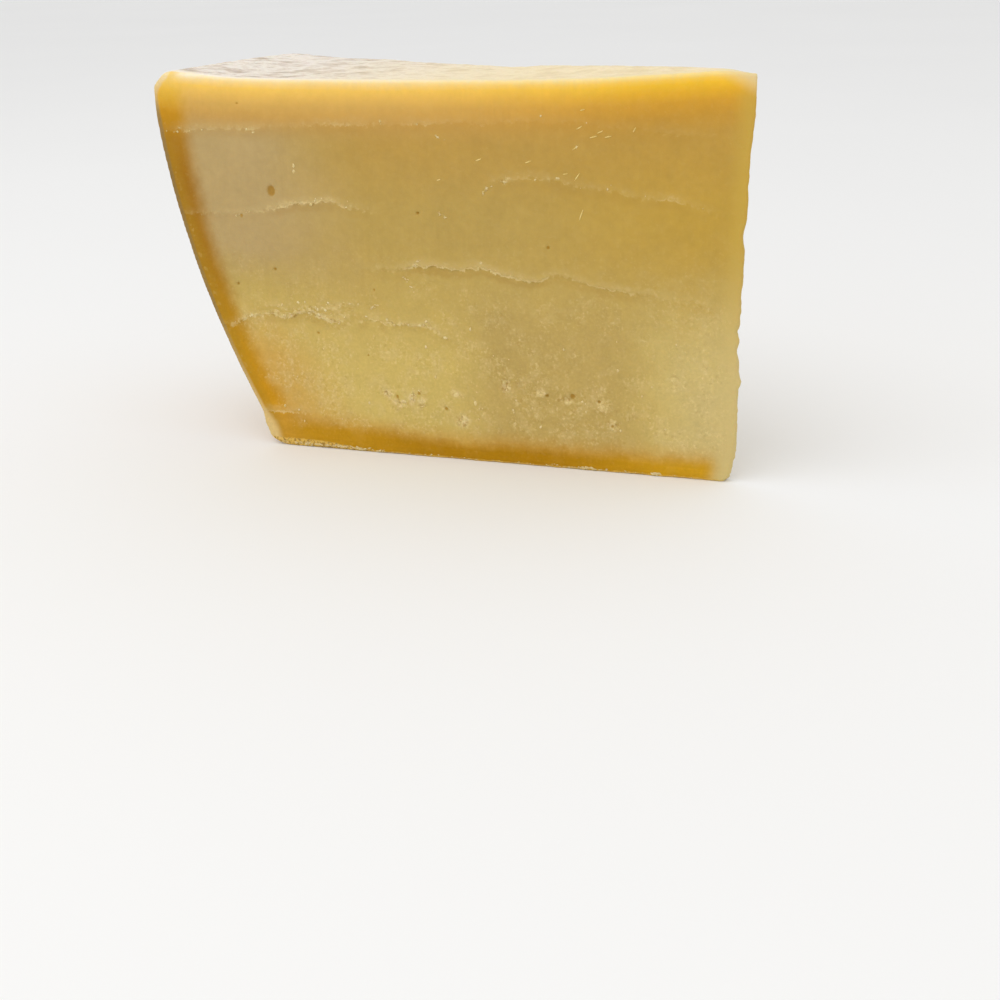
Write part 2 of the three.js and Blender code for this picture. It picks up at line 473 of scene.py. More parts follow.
@dataclass
class CutSurvey:
    """What the relief of a cut comes to at some places.

    Attributes:
        depth: how deep the paste lies.
        above: how far the place is above the nearest fracture.
        open: how open that fracture is.
        flecked: how much that fracture's rim broke up.
        crumbled: how crumbled the place is.
        pit: how deep it lies in a pit there, from 0 to 1.
        hollow: how deep the place lies in an eye, from 0 to 1.
    """

    depth: np.ndarray
    above: np.ndarray
    open: np.ndarray
    flecked: np.ndarray
    crumbled: np.ndarray
    pit: np.ndarray
    hollow: np.ndarray

    @classmethod
    def blank(cls, count: int) -> "CutSurvey":
        """The survey of a flat cut, for so many places."""
        zeros = [np.zeros(count) for _ in range(6)]
        return cls(zeros[0], np.full(count, FAR), *zeros[1:])


FRONT_RELIEF = CutRelief(
    fractures=(
        Fracture(((203, 108.4, 0.25), (193, 108.8, 0.4), (171, 109.8, 0.45), (164, 110.2, 0.15),
                  (150, 111, 0.3), (142, 111.2, 0.45), (131, 111.3, 0.35), (121, 111.8, 0.2),
                  (103, 111.8, 0.4), (94, 112, 0.25), (64, 113, 0.12), (39, 110.9, 0.1),
                  (27, 109.9, 0.25), (19, 109.2, 0.1)), 0.22 * MM, 3 * MM, 0.5 * MM, 0.5),
        Fracture(((199, 81.2, 0.4), (191, 81, 0.3), (179, 81.7, 0.3), (168, 82.4, 0.3),
                  (161, 84.7, 0.75), (149, 85.9, 0.8), (143, 86.3, 0.7), (138, 84.9, 0.4),
                  (127, 83, 0.2)), 0.4 * MM, 3.5 * MM, 0.5 * MM, 0.5),
        Fracture(((87, 94.2, 0.4), (83, 94.9, 0.4), (77, 95.8, 0.35), (71, 95.2, 0.35),
                  (52, 92.9, 0.3), (39, 90.5, 0.15), (31, 90.3, 0.45), (26, 89.3, 0.35),
                  (15, 86, 0.1)), 0.12 * MM, 3 * MM, 0.4 * MM, 0.5),
        Fracture(((134, 64, 0.15), (122, 64.3, 0.3), (117, 64.8, 0.8), (115, 67.2, 1),
                  (110, 66.1, 1), (99, 65.2, 1), (92, 66.8, 1), (85, 64.9, 1), (78, 63.5, 1),
                  (74, 62.6, 1), (70, 63.8, 0.6), (67, 65, 0.4), (59, 63.6, 0.5), (50, 60.9, 0.5),
                  (42, 60.7, 0.55), (32, 59.6, 0.3), (13, 56.4, 0.15)),
                 0.9 * MM, 6 * MM, 0.6 * MM, 0.15),
        Fracture(((187, 41.6, 0.5), (184, 42.7, 0.8), (177, 45.9, 0.9), (172, 47.4, 0.8),
                  (164, 46.6, 1), (156, 48.7, 1), (151, 47.6, 1), (146, 45.8, 1), (141, 46.8, 0.7),
                  (138, 48.4, 0.6), (134, 47.4, 0.2), (129, 46.4, 0.2), (124, 45.8, 0.9),
                  (112, 46.4, 1), (108, 44.4, 0.7), (101, 39.8, 0.5)),
                 0.6 * MM, 4 * MM, 0.7 * MM, 0.9),
        Fracture(((137, 45.6, 0.3), (134.5, 46.6, 0.9), (131.5, 47.3, 1), (128, 46.7, 1),
                  (125, 45, 0.5)), 0.4 * MM, 2.5 * MM, 0.1 * MM, 0.1),
        Fracture(((174, 51, 0.2), (167, 50.2, 0.6), (158, 50.4, 0.3), (148, 50.8, 0.4),
                  (140, 51.4, 0.6), (135, 50.2, 0.3)), 0.25 * MM, 2 * MM, 0.9 * MM, 1),
        Fracture(((131, 25, 0.4), (127.5, 22.6, 0.9), (124, 18.6, 1), (121, 16.4, 0.6)),
                 0.4 * MM, 3 * MM, 0.7 * MM, 0.7),
        Fracture(((121, 16.6, 0.5), (118.6, 20, 0.9), (116, 22.6, 0.8), (111, 24.4, 0.4)),
                 0.4 * MM, 3 * MM, 0.7 * MM, 0.7),
        Fracture(((176, 11.9, 1), (164, 12.4, 0.7), (154, 12.6, 0.3)),
                 0.25 * MM, 2.5 * MM, 0.05 * MM, 0.1),
    ),
    crumbled=Crumbled.listed(
        (118, 20, 26, 13, 0.35, 0.5), (97, 17, 12, 9, 0.35, 0.5), (80, 28, 16, 8, 0.3, 0.45),
        (58, 20, 34, 14, 0.3, 0.5), (155, 49, 30, 4, 0.3, 0.5), (126.4, 21.2, 3.2, 1.8, 0.6),
        (122.6, 18.4, 3, 2.2, 0.6), (118, 20, 2, 3.6, 0.6), (114.4, 19.4, 2.6, 2.6, 0.6),
        (101.5, 23.5, 3.5, 2, 0.5, 0.8), (99.5, 14.2, 3, 3.6, 0.6), (84, 27.7, 2.4, 3.4, 0.6),
        (72, 26, 2.6, 1.8, 0.6), (62.8, 23.8, 2.6, 2, 0.5, 0.8), (51, 22.5, 4, 3.4, 0.5, 0.8),
        (47.5, 16.5, 3, 3, 0.5, 0.8), (82.5, 94.6, 3, 1.8, 0.3, 0.7),
    ),
    eyes=Eye.listed(
        (165, 89.4, 1.6, 0.9, 1.3), (176.8, 80.9, 0.4, 0.2, 2.5), (129.6, 57.6, 0.5, 0.3),
        (165.6, 63.1, 0.6, 0.6), (180.2, 57.4, 0.6, 0.6), (174.9, 117.8, 0.45, 0.4),
        (112.8, 83.7, 0.6, 0.6), (68.7, 73.9, 0.6, 0.5), (151.2, 41.6, 0.5, 0.4),
        (133.1, 34.8, 0.5, 0.4), (123.3, 20.8, 0.7, 0.4), (115.2, 22.5, 0.6, 0.35),
        (105.6, 17.8, 0.7, 0.35), (69.9, 24.9, 0.8, 0.7, 0.7), (61.3, 25.2, 0.9, 0.8, 1.2),
        (52.2, 24.1, 0.7, 0.6), (47.8, 15.9, 0.6, 0.5),
    ),
    seed=5,
    crumb_tries=14000,
    crystal_tries=55,
)

BACK_RELIEF = CutRelief(
    fractures=(
        Fracture(((204, 104, 0.7), (168, 106.2, 0.9), (120, 104.6, 0.4), (66, 107, 0.6),
                  (24, 103.8, 0.2)), 0.35 * MM, 3.5 * MM, 0.5 * MM),
        Fracture(((150, 78, 0.3), (128, 82.4, 1), (104, 80.2, 1), (80, 83, 0.7), (58, 79.4, 0.3)),
                 0.8 * MM, 5 * MM, 0.35 * MM, 0.2),
        Fracture(((196, 64.2, 0.6), (178, 61.4, 1), (160, 64.6, 0.8), (141, 60.8, 0.3)),
                 0.45 * MM, 4 * MM),
        Fracture(((112, 50.6, 0.4), (93, 54.4, 0.9), (70, 51.6, 0.6), (49, 55.8, 0.7),
                  (17, 51.2, 0.2)), 0.6 * MM, 4.5 * MM, 0.5 * MM, 0.6),
        Fracture(((182, 32.4, 0.6), (158, 28.8, 1), (136, 31.8, 0.8), (112, 27.4, 1),
                  (90, 30, 0.4)), 0.6 * MM, 4 * MM, 0.7 * MM, 0.9),
    ),
    crumbled=Crumbled.listed(
        (152, 44, 22, 9, 0.6, 0.6), (84, 20, 28, 9, 0.6, 0.6), (128, 80, 24, 4, 0.4, 0.5),
    ),
    eyes=Eye.listed(
        (131, 93, 1.3, 1.3, 1.2), (96, 66, 0.7, 0.7), (58, 37, 0.7, 0.7), (170, 76, 0.6, 0.6),
        (92, 22, 0.8, 0.7), (76, 18, 0.7, 0.6), (148, 46, 0.8, 0.7),
    ),
    seed=23,
    crumb_tries=12000,
    crystal_tries=90,
)


# ---------------------------------------------------------------------------------------------
# Modelling


def only(piece: bpy.types.Object) -> None:
    """Leaves one object selected and active, in object mode.

    Args:
        piece: the object.
    """
    if bpy.context.object and bpy.context.object.mode != "OBJECT":
        bpy.ops.object.mode_set(mode="OBJECT")
    bpy.ops.object.select_all(action="DESELECT")
    piece.select_set(True)
    bpy.context.view_layer.objects.active = piece


def apply_modifier(piece: bpy.types.Object, kind: str, **settings: object) -> None:
    """Adds a modifier to a piece and applies it.

    Args:
        piece: the piece to change.
        kind: the modifier's type.
        settings: its settings by name.
    """
    only(piece)
    modifier = piece.modifiers.new(kind.title(), kind)
    for name, value in settings.items():
        setattr(modifier, name, value)
    bpy.ops.object.modifier_apply(modifier=modifier.name)


def places_of(mesh: bpy.types.Mesh) -> np.ndarray:
    """The places of a mesh's vertices, one to a row."""
    flat = np.zeros(len(mesh.vertices) * 3)
    mesh.vertices.foreach_get("co", flat)
    return flat.reshape(-1, 3)


def move_to(mesh: bpy.types.Mesh, places: np.ndarray) -> None:
    """Puts a mesh's vertices at new places."""
    mesh.vertices.foreach_set("co", places.ravel())
    mesh.update()


def store(mesh: bpy.types.Mesh, name: str, values: np.ndarray) -> None:
    """Keeps a number for each vertex in a named attribute."""
    attribute = mesh.attributes.new(name, "FLOAT", "POINT")
    attribute.data.foreach_set("value", values.astype(np.float32))


@dataclass
class Chunk:
    """The chunk itself: its body, relief and broken edges, and what its finish is worked out from.
    """

    wheel: Wheel
    low: Vector                    # the corners of the box that nothing may leave
    high: Vector
    front: CutRelief = FRONT_RELIEF
    back: CutRelief = BACK_RELIEF
    section_columns: int = 84
    section_rows: int = 96
    spin_steps: int = 20
    grain_size: float = 0.5 * MM
    most_triangles: int = 198_000
    front_favour: float = 1e-6     # how much more thinning spares the long cut than the rest
    slide: float = 4 * MM          # how far beside an edge the surface shifts with it
    least_depth: float = 0.03 * MM
    # The top's rise along the back cut: radius and rise in millimetres.
    back_swell: tuple[Row, ...] = (
        (8, 0), (21, 1.1), (32, 1.6), (46, 1.7), (56, 2.1), (83, 2), (95, 1), (125, 1.3),
        (139, 1.1), (154, 1.7), (170, 1.3), (184, 0.6), (197, 0.2), (205, 0.6),
    )
    swell_softening: float = 3 * MM
    # What is named fade gives where the thing starts to show and where it is whole.
    tip_droop: float = 1.2 * MM
    droop_fade: Row = (16 * MM, 3 * MM)
    rim_lift: float = 0.7 * MM
    lift_fade: Row = (178 * MM, 194 * MM)
    ease: float = 0.5 * MM         # how far under the ceiling the top starts to level off
    corner: float = 1.5 * MM       # how far from the long cut its edge with the rind reaches
    corner_gain: float = 0.95 * MM
    foot_gain: float = 1.3 * MM    # how far the foot of the rind stands out
    foot_fade: Row = (13 * MM, 7 * MM)
    rough_fade: Row = (85 * MM, 25 * MM)    # the paste is rougher lower down
    # In millimetres: further chips of the tip, each with its height, half of its own height and
    # its depth, and how far the top of the tip stands out.
    tip_chips: tuple[Row, ...] = ((80, 6, 0.9), (43, 4, 0.8))
    tip_top_gain: float = 0.45
    tip_top_fade: Row = (104 * MM, 120 * MM)
    # The edges that are worn: the two surfaces, then, in millimetres, the size of the rounding,
    # how ragged it is and how deep its chips are.
    edges: tuple[tuple[Surface, Surface, float, float, float], ...] = (
        (Surface.FRONT, Surface.TOP, 1.0, 0.15, 0.3),
        (Surface.BACK, Surface.TOP, 1.4, 0.5, 1.0),
        (Surface.FRONT, Surface.BASE, 0.7, 0.6, 1.2),
        (Surface.BACK, Surface.BASE, 0.9, 0.5, 1.2),
        (Surface.FRONT, Surface.SIDE, 0.4, 0.15, 0.4),
        (Surface.BACK, Surface.SIDE, 1.0, 0.5, 0.8),
        (Surface.FRONT, Surface.TIP, 0.9, 0.7, 1.6),
        (Surface.BACK, Surface.TIP, 1.2, 0.9, 2.2),
        (Surface.TIP, Surface.TOP, 0.7, 0.3, 0.6),
        (Surface.TIP, Surface.BASE, 2.0, 0.6, 1.5),
        (Surface.SIDE, Surface.BASE, 4.0, 0.4, 0.6),
        (Surface.SIDE, Surface.TOP, 5.0, 0.2, 0.3),
    )
    thinning_levels: int = 4
    thinning_fade: Row = (1.5 * MM, 12 * MM)

    def build(self) -> bpy.types.Object:
        """Models the chunk.

        Returns:
            The finished object, still without its material.
        """
        piece = self.blank()
        apply_modifier(piece, "REMESH", mode="VOXEL", voxel_size=self.grain_size)
        self.break_surface(piece.data)
        self.thin_out(piece)
        only(piece)
        bpy.ops.object.shade_smooth()
        return piece

    def blank(self) -> bpy.types.Object:
        """Shapes the wheel's section from a grid and spins it through the wedge's angle.

        Returns:
            The closed wedge, with smooth faces.
        """
        wheel = self.wheel
        bpy.ops.object.select_all(action="DESELECT")
        bpy.ops.mesh.primitive_grid_add(
            x_subdivisions=self.section_columns,
            y_subdivisions=self.section_rows,
            size=1,
            location=(0, 0, 0),
        )
        piece = bpy.context.object
        piece.name = "cheese"
        flat = places_of(piece.data)
        radius, height = self.section(0.5 - flat[:, 0], flat[:, 1] + 0.5)
        ahead = np.full(len(radius), wheel.axis.y)
        move_to(piece.data, np.column_stack([wheel.axis.x - radius, ahead, height + wheel.axis.z]))
        only(piece)
        bpy.ops.object.mode_set(mode="EDIT")
        bpy.ops.mesh.select_all(action="SELECT")
        bpy.ops.mesh.spin(
            steps=self.spin_steps,
            angle=wheel.wedge_angle,
            center=wheel.axis,
            axis=(0, 0, 1),
        )
        bpy.ops.mesh.select_all(action="SELECT")
        bpy.ops.mesh.remove_doubles(threshold=0.01 * MM)
        bpy.ops.mesh.normals_make_consistent(inside=False)
        bpy.ops.object.mode_set(mode="OBJECT")
        return piece

    def section(self, inward: np.ndarray, upward: np.ndarray) -> tuple[np.ndarray, np.ndarray]:
        """Bends a unit square into the wheel's section.

        Args:
            inward: 1 at the rind and 0 at the tip.
            upward: 0 at the base and 1 at the top.

        Returns:
            The radius and the height of each place.
        """
        wheel = self.wheel
        height = upward * wheel.top_height
        for _ in range(2):
            trim = wheel.trim(height)
            radius = trim + inward * (wheel.side(height) - trim)
            height = upward * wheel.top(radius)
        rim = float(wheel.top(wheel.widest_radius)) - wheel.rim_round
        radius, height = self.round_off(radius, height, rim, wheel.rim_round, 1)
        return self.round_off(radius, height, wheel.foot_round, wheel.foot_round, -1)

    def round_off(
        self, radius: np.ndarray, height: np.ndarray, level: float, size: float, way: int
    ) -> tuple[np.ndarray, np.ndarray]:
        """Rounds one corner of the section.

        Args:
            radius, height: the places of the section.
            level: the height of the rounding's centre.
            size: the rounding's radius.
            way: 1 for the corner above the centre and -1 for the one below it.

        Returns:
            The places with the square corner pushed on to its arc.
        """
        centre = self.wheel.side(level) - size
        outward = (radius - centre) / np.maximum(self.wheel.side(height) - centre, MM)
        edge = self.wheel.top(radius) if way > 0 else np.zeros_like(radius)
        past = (height - level) / (edge - level)
        inside = (outward > 0) & (past > 0)
        largest = np.maximum(outward, past)
        length = np.maximum(np.hypot(outward, past), 1e-9)
        rounded_radius = centre + size * outward * largest / length
        rounded_height = level + way * size * past * largest / length
        return np.where(inside, rounded_radius, radius), np.where(inside, rounded_height, height)

    def gaps(self, places: np.ndarray) -> dict[Surface, np.ndarray]:
        """How far places on the blank lie inside each of its surfaces.

        Args:
            places: the places, one to a row.

        Returns:
            The distances, by surface.
        """
        wheel = self.wheel
        local = places - np.array(wheel.axis)
        radius = np.hypot(local[:, 0], local[:, 1])
        height = local[:, 2]
        return {
            Surface.FRONT: -local @ np.array(wheel.cut(Surface.FRONT).outward),
            Surface.BACK: -local @ np.array(wheel.cut(Surface.BACK).outward),
            Surface.TIP: radius - wheel.trim(height),
            Surface.TOP: wheel.top(radius) - height,
            Surface.BASE: height,
            Surface.SIDE: wheel.side(height) - radius,
        }

    def inward(self, places: np.ndarray) -> dict[Surface, np.ndarray]:
        """The direction into the chunk from each of its surfaces.

        Args:
            places: the places to work it out for, one to a row.

        Returns:
            The directions, of length 1, by surface.
        """
        local = places - np.array(self.wheel.axis)
        radial = local * np.array([1, 1, 0])
        radial /= np.maximum(np.linalg.norm(radial, axis=1, keepdims=True), MM)
        same = np.ones((len(places), 1))
        return {
            Surface.FRONT: -same * np.array(self.wheel.cut(Surface.FRONT).outward),
            Surface.BACK: -same * np.array(self.wheel.cut(Surface.BACK).outward),
            Surface.TIP: same * np.array([-1, 0, 0]),
            Surface.TOP: same * np.array([0, 0, -1]),
            Surface.BASE: same * np.array([0, 0, 1]),
            Surface.SIDE: -radial,
        }

    def break_surface(self, mesh: bpy.types.Mesh) -> None:
        """Gives every surface its relief and keeps what the finish needs to know of it.

        Args:
            mesh: the fine blank, which is changed and given attributes.
        """
        places = places_of(mesh)
        gaps = self.gaps(places)
        inward = self.inward(places)
        local = places - np.array(self.wheel.axis)
        surveys = {
            face: relief.survey(local @ np.array(self.wheel.cut(face).along), local[:, 2])
            for face, relief in ((Surface.FRONT, self.front), (Surface.BACK, self.back))
        }
        depths = self.plain_depths(places)
        for face, survey in surveys.items():
            depths[face] = np.maximum(depths[face] + survey.depth, self.least_depth)
        for surface, depth in self.worn_edges(places, gaps).items():
            depths[surface] = depths[surface] + depth
        depths[Surface.TOP] = depths[Surface.TOP] - self.swell(local)
        # The grains cut the corner between the long cut and the rind, which this gives back.
        corner = np.clip(1 - gaps[Surface.FRONT] / self.corner, 0, 1)
        foot = smooth(local[:, 2], *self.foot_fade)
        depths[Surface.SIDE] -= self.corner_gain * corner + self.foot_gain * foot
        moved = places.copy()
        for surface, depth in depths.items():
            share = np.clip(1 - gaps[surface] / self.slide, 0, 1) * depth
            moved += inward[surface] * share[:, None]
        # The swollen top eases up to the ceiling and never through it.
        over = np.maximum(moved[:, 2] - self.high.z + self.ease, 0)
        moved[:, 2] -= over - self.ease * (1 - np.exp(-over / self.ease))
        moved = np.clip(moved, np.array(self.low), np.array(self.high))
        move_to(mesh, moved)
        on_cut = np.minimum(np.minimum(gaps[Surface.FRONT], gaps[Surface.BACK]), gaps[Surface.TIP])
        store(mesh, "gap", np.clip(on_cut, 0, FAR))
        store(mesh, "point", np.clip(gaps[Surface.TIP], 0, FAR))
        on_front = gaps[Surface.FRONT] < gaps[Surface.BACK]
        for name in ("above", "open", "flecked", "crumbled", "pit", "hollow"):
            front, back = (getattr(survey, name) for survey in surveys.values())
            store(mesh, name, np.where(on_front, front, back))

    def swell(self, local: np.ndarray) -> np.ndarray:
        """How much the top rises over the wheel's own towards the back, and droops at the tip.

        Args:
            local: places measured from the foot of the wheel's axis.

        Returns:
            The rise at each place.
        """
        radius = np.hypot(local[:, 0], local[:, 1])
        turned = np.arctan2(local[:, 1], -local[:, 0]) / self.wheel.wedge_angle
        at, rise = np.array(self.back_swell).T * MM
        aside = self.swell_softening
        soft = (np.interp(radius - aside, at, rise) + np.interp(radius + aside, at, rise)) / 2
        rim = smooth(radius, *self.lift_fade) * smooth(turned, 1, 0.85)
        droop = self.tip_droop * smooth(radius, *self.droop_fade)
        return soft * smooth(turned, 0.1, 0.95) + self.rim_lift * rim - droop

    def plain_depths(self, places: np.ndarray) -> dict[Surface, np.ndarray]:
        """The unevenness that every surface has.

        Args:
            places: the vertices' places.

        Returns:
            How deep each surface lies because of it.
        """
        waves = SmoothNoise(31, 26 * MM, 2)(places)
        ripple = SmoothNoise(32, 5 * MM, 2)(places)
        grain = SmoothNoise(33, 1.6 * MM, 2)(places)
        low = smooth(places[:, 2], *self.rough_fade)
        cut = (0.26 + 0.08 * waves + 0.025 * ripple + (0.015 + 0.05 * low) * grain) * MM
        tip = 0.15 + 0.1 * waves + (0.03 + 0.14 * low) * ripple + (0.02 + 0.24 * low) * grain
        for at, half, depth in self.tip_chips:
            tip += depth * smooth(np.abs(places[:, 2] / MM - at), half, 0)
        tip -= self.tip_top_gain * smooth(places[:, 2], *self.tip_top_fade)
        return {
            Surface.FRONT: cut,
            Surface.BACK: cut,
            Surface.TIP: tip * MM,
            Surface.TOP: (0.12 + 0.12 * waves + 0.1 * ripple + 0.08 * grain) * MM,
            Surface.BASE: (0.08 + 0.04 * ripple) * MM,
            Surface.SIDE: (0.08 + 0.05 * waves + 0.04 * ripple + 0.03 * grain) * MM,
        }

    def worn_edges(
        self, places: np.ndarray, gaps: dict[Surface, np.ndarray]
    ) -> dict[Surface, np.ndarray]:
        """The rounding and the small chips of the edges between two surfaces.

        Args:
            places: the vertices' places.
            gaps: how far they lie inside each surface.

        Returns:
            How much deeper each surface lies because of them.
        """
        ragged = SmoothNoise(41, 3.2 * MM, 3)(places)
        chipped = np.clip(SmoothNoise(42, 11 * MM, 2)(places) - 0.2, 0, 1)
        depths = {surface: np.zeros(len(places)) for surface in Surface}
        # A quarter round takes this share of its radius off each face where they would have met.
        lost_share = 1 - math.sqrt(0.5)
        for one, other, size, rag, chips in self.edges:
            radius = np.maximum(size + rag * ragged + chips * chipped, 0.3) * MM
            loss = lost_share * radius
            for face, beside in ((one, other), (other, one)):
                nearness = np.clip(1 - gaps[beside] / radius, 0, 1)
                depths[face] += loss * nearness * nearness
        return depths

    def thin_out(self, piece: bpy.types.Object) -> None:
        """Thins the mesh, most of all away from the long cut face.

        Args:
            piece: the chunk, which is changed.
        """
        fine = piece.copy()
        fine.data = piece.data.copy()
        bpy.context.collection.objects.link(fine)
        gap = places_of(piece.data)[:, 1] - self.wheel.axis.y
        group = piece.vertex_groups.new(name="thin")
        last = self.thinning_levels
        levels = 1 + np.round(smooth(gap, *self.thinning_fade) * (last - 1))
        for level in range(1, last + 1):
            chosen = np.nonzero(levels == level)[0]
            group.add(chosen.tolist(), level / last, "REPLACE")
        triangles = sum(len(polygon.vertices) - 2 for polygon in piece.data.polygons)
        apply_modifier(
            piece,
            "DECIMATE",
            ratio=min(1.0, self.most_triangles / triangles),
            vertex_group=group.name,
            vertex_group_factor=self.front_favour,
        )
        piece.vertex_groups.clear()
        # Thinning leaves a few vertices off the surface.
        apply_modifier(piece, "SHRINKWRAP", target=fine, wrap_method="NEAREST_SURFACEPOINT")
        bpy.data.objects.remove(fine)


# ---------------------------------------------------------------------------------------------
# Loose bits


@dataclass(frozen=True)
class Bit:
    """One bit of cheese that sticks to a cut face.

    Attributes:
        across, height: its place on the cut.
        size: half of its length, its width and how far it stands out.
        turn: how far its length is turned from level.
    """

    across: float
    height: float
    size: tuple[float, float, float]
    turn: float = 0.0


class BitShape(Enum):
    """The forms that bits are made in."""

    LUMP = "lump"
    SLIVER = "sliver"


@dataclass
class Bits:
    """Many bits of one kind, sunk a little into the cut faces and joined into one piece."""

    name: str
    shape: BitShape
    chunk: bpy.types.Object
    wheel: Wheel
    sunk: float = 0.45             # the share of a bit's thickness that lies under the surface
    tallest: float = 1.3           # how far a rough bit may stand out, over half its thickness
    curls: Row = (math.radians(-35), math.radians(50))
    variants: int = 5
    seed: int = 1

    def build(self, faces: dict[Surface, list[Bit]]) -> bpy.types.Object:
        """Models the bits.

        Args:
            faces: the bits of each cut.

        Returns:
            One object with all of them.
        """
        masters = [self.master(number) for number in range(self.variants)]
        tree = BVHTree.FromObject(self.chunk, bpy.context.evaluated_depsgraph_get())
        copies = []
        for surface, bits in faces.items():
            cut = self.wheel.cut(surface)
            for bit in bits:
                start = cut.at(bit.across, bit.height) + cut.outward * FAR
                found = tree.ray_cast(start, -cut.outward)[0]
                if found is not None:
                    master = masters[len(copies) % self.variants]
                    copies.append(self.place(master, bit, cut, found))
        for master in masters:
            bpy.data.objects.remove(master)
        bpy.ops.object.select_all(action="DESELECT")
        for copy in copies:
            copy.select_set(True)
        bpy.context.view_layer.objects.active = copies[0]
        bpy.ops.object.join()
        piece = bpy.context.object
        piece.name = self.name
        bpy.ops.object.shade_smooth()
        return piece

    def master(self, number: int) -> bpy.types.Object:
        """Models one bit about the origin, half of it one unit long each way.

        Args:
            number: which of the variants it is.

        Returns:
            The bit that others are copied from.
        """
        bpy.ops.object.select_all(action="DESELECT")
        if self.shape is BitShape.LUMP:
            bpy.ops.mesh.primitive_ico_sphere_add(subdivisions=2, radius=1, location=(0, 0, 0))
        else:
            bpy.ops.mesh.primitive_uv_sphere_add(
                segments=6, ring_count=9, radius=1, location=(0, 0, 0), rotation=(0, math.pi / 2, 0)
            )
            bpy.ops.object.transform_apply(location=False, rotation=True, scale=False)
        master = bpy.context.object
        bpy.ops.object.mode_set(mode="EDIT")
        bpy.ops.mesh.select_all(action="SELECT")
        rough = 0.3 if self.shape is BitShape.LUMP else 0.1
        bpy.ops.transform.vertex_random(offset=rough, seed=self.seed * 20 + number)
        bpy.ops.object.mode_set(mode="OBJECT")
        if self.shape is BitShape.SLIVER:
            apply_modifier(
                master,
                "SIMPLE_DEFORM",
                deform_method="BEND",
                angle=self.curls[number % 2],
                deform_axis="Z",
            )
        return master

    def place(
        self, master: bpy.types.Object, bit: Bit, cut: Cut, surface: Vector
    ) -> bpy.types.Object:
        """Copies a master on to the surface, kept inside the plane of the cut.

        Args:
            master: the bit to copy.
            bit: where it goes and how large it is.
            cut: the cut that it sits on.
            surface: the place on the chunk's surface under it.

        Returns:
            The copy, with its place in its own mesh.
        """
        length, width, rise = bit.size
        depth = (cut.foot - surface).dot(cut.outward)
        out = min(rise * (1 - 2 * self.sunk), depth - self.tallest * rise)
        frame = Matrix((-cut.along, Vector((0, 0, 1)), cut.outward)).transposed()
        turn = Matrix.Rotation(bit.turn, 3, "Z")
        size = Matrix.Diagonal((length, width, rise))
        copy = bpy.data.objects.new(self.name, master.data.copy())
        bpy.context.collection.objects.link(copy)
        place = Matrix.Translation(surface + cut.outward * out)
        copy.data.transform(place @ (frame @ turn @ size).to_4x4())
        return copy


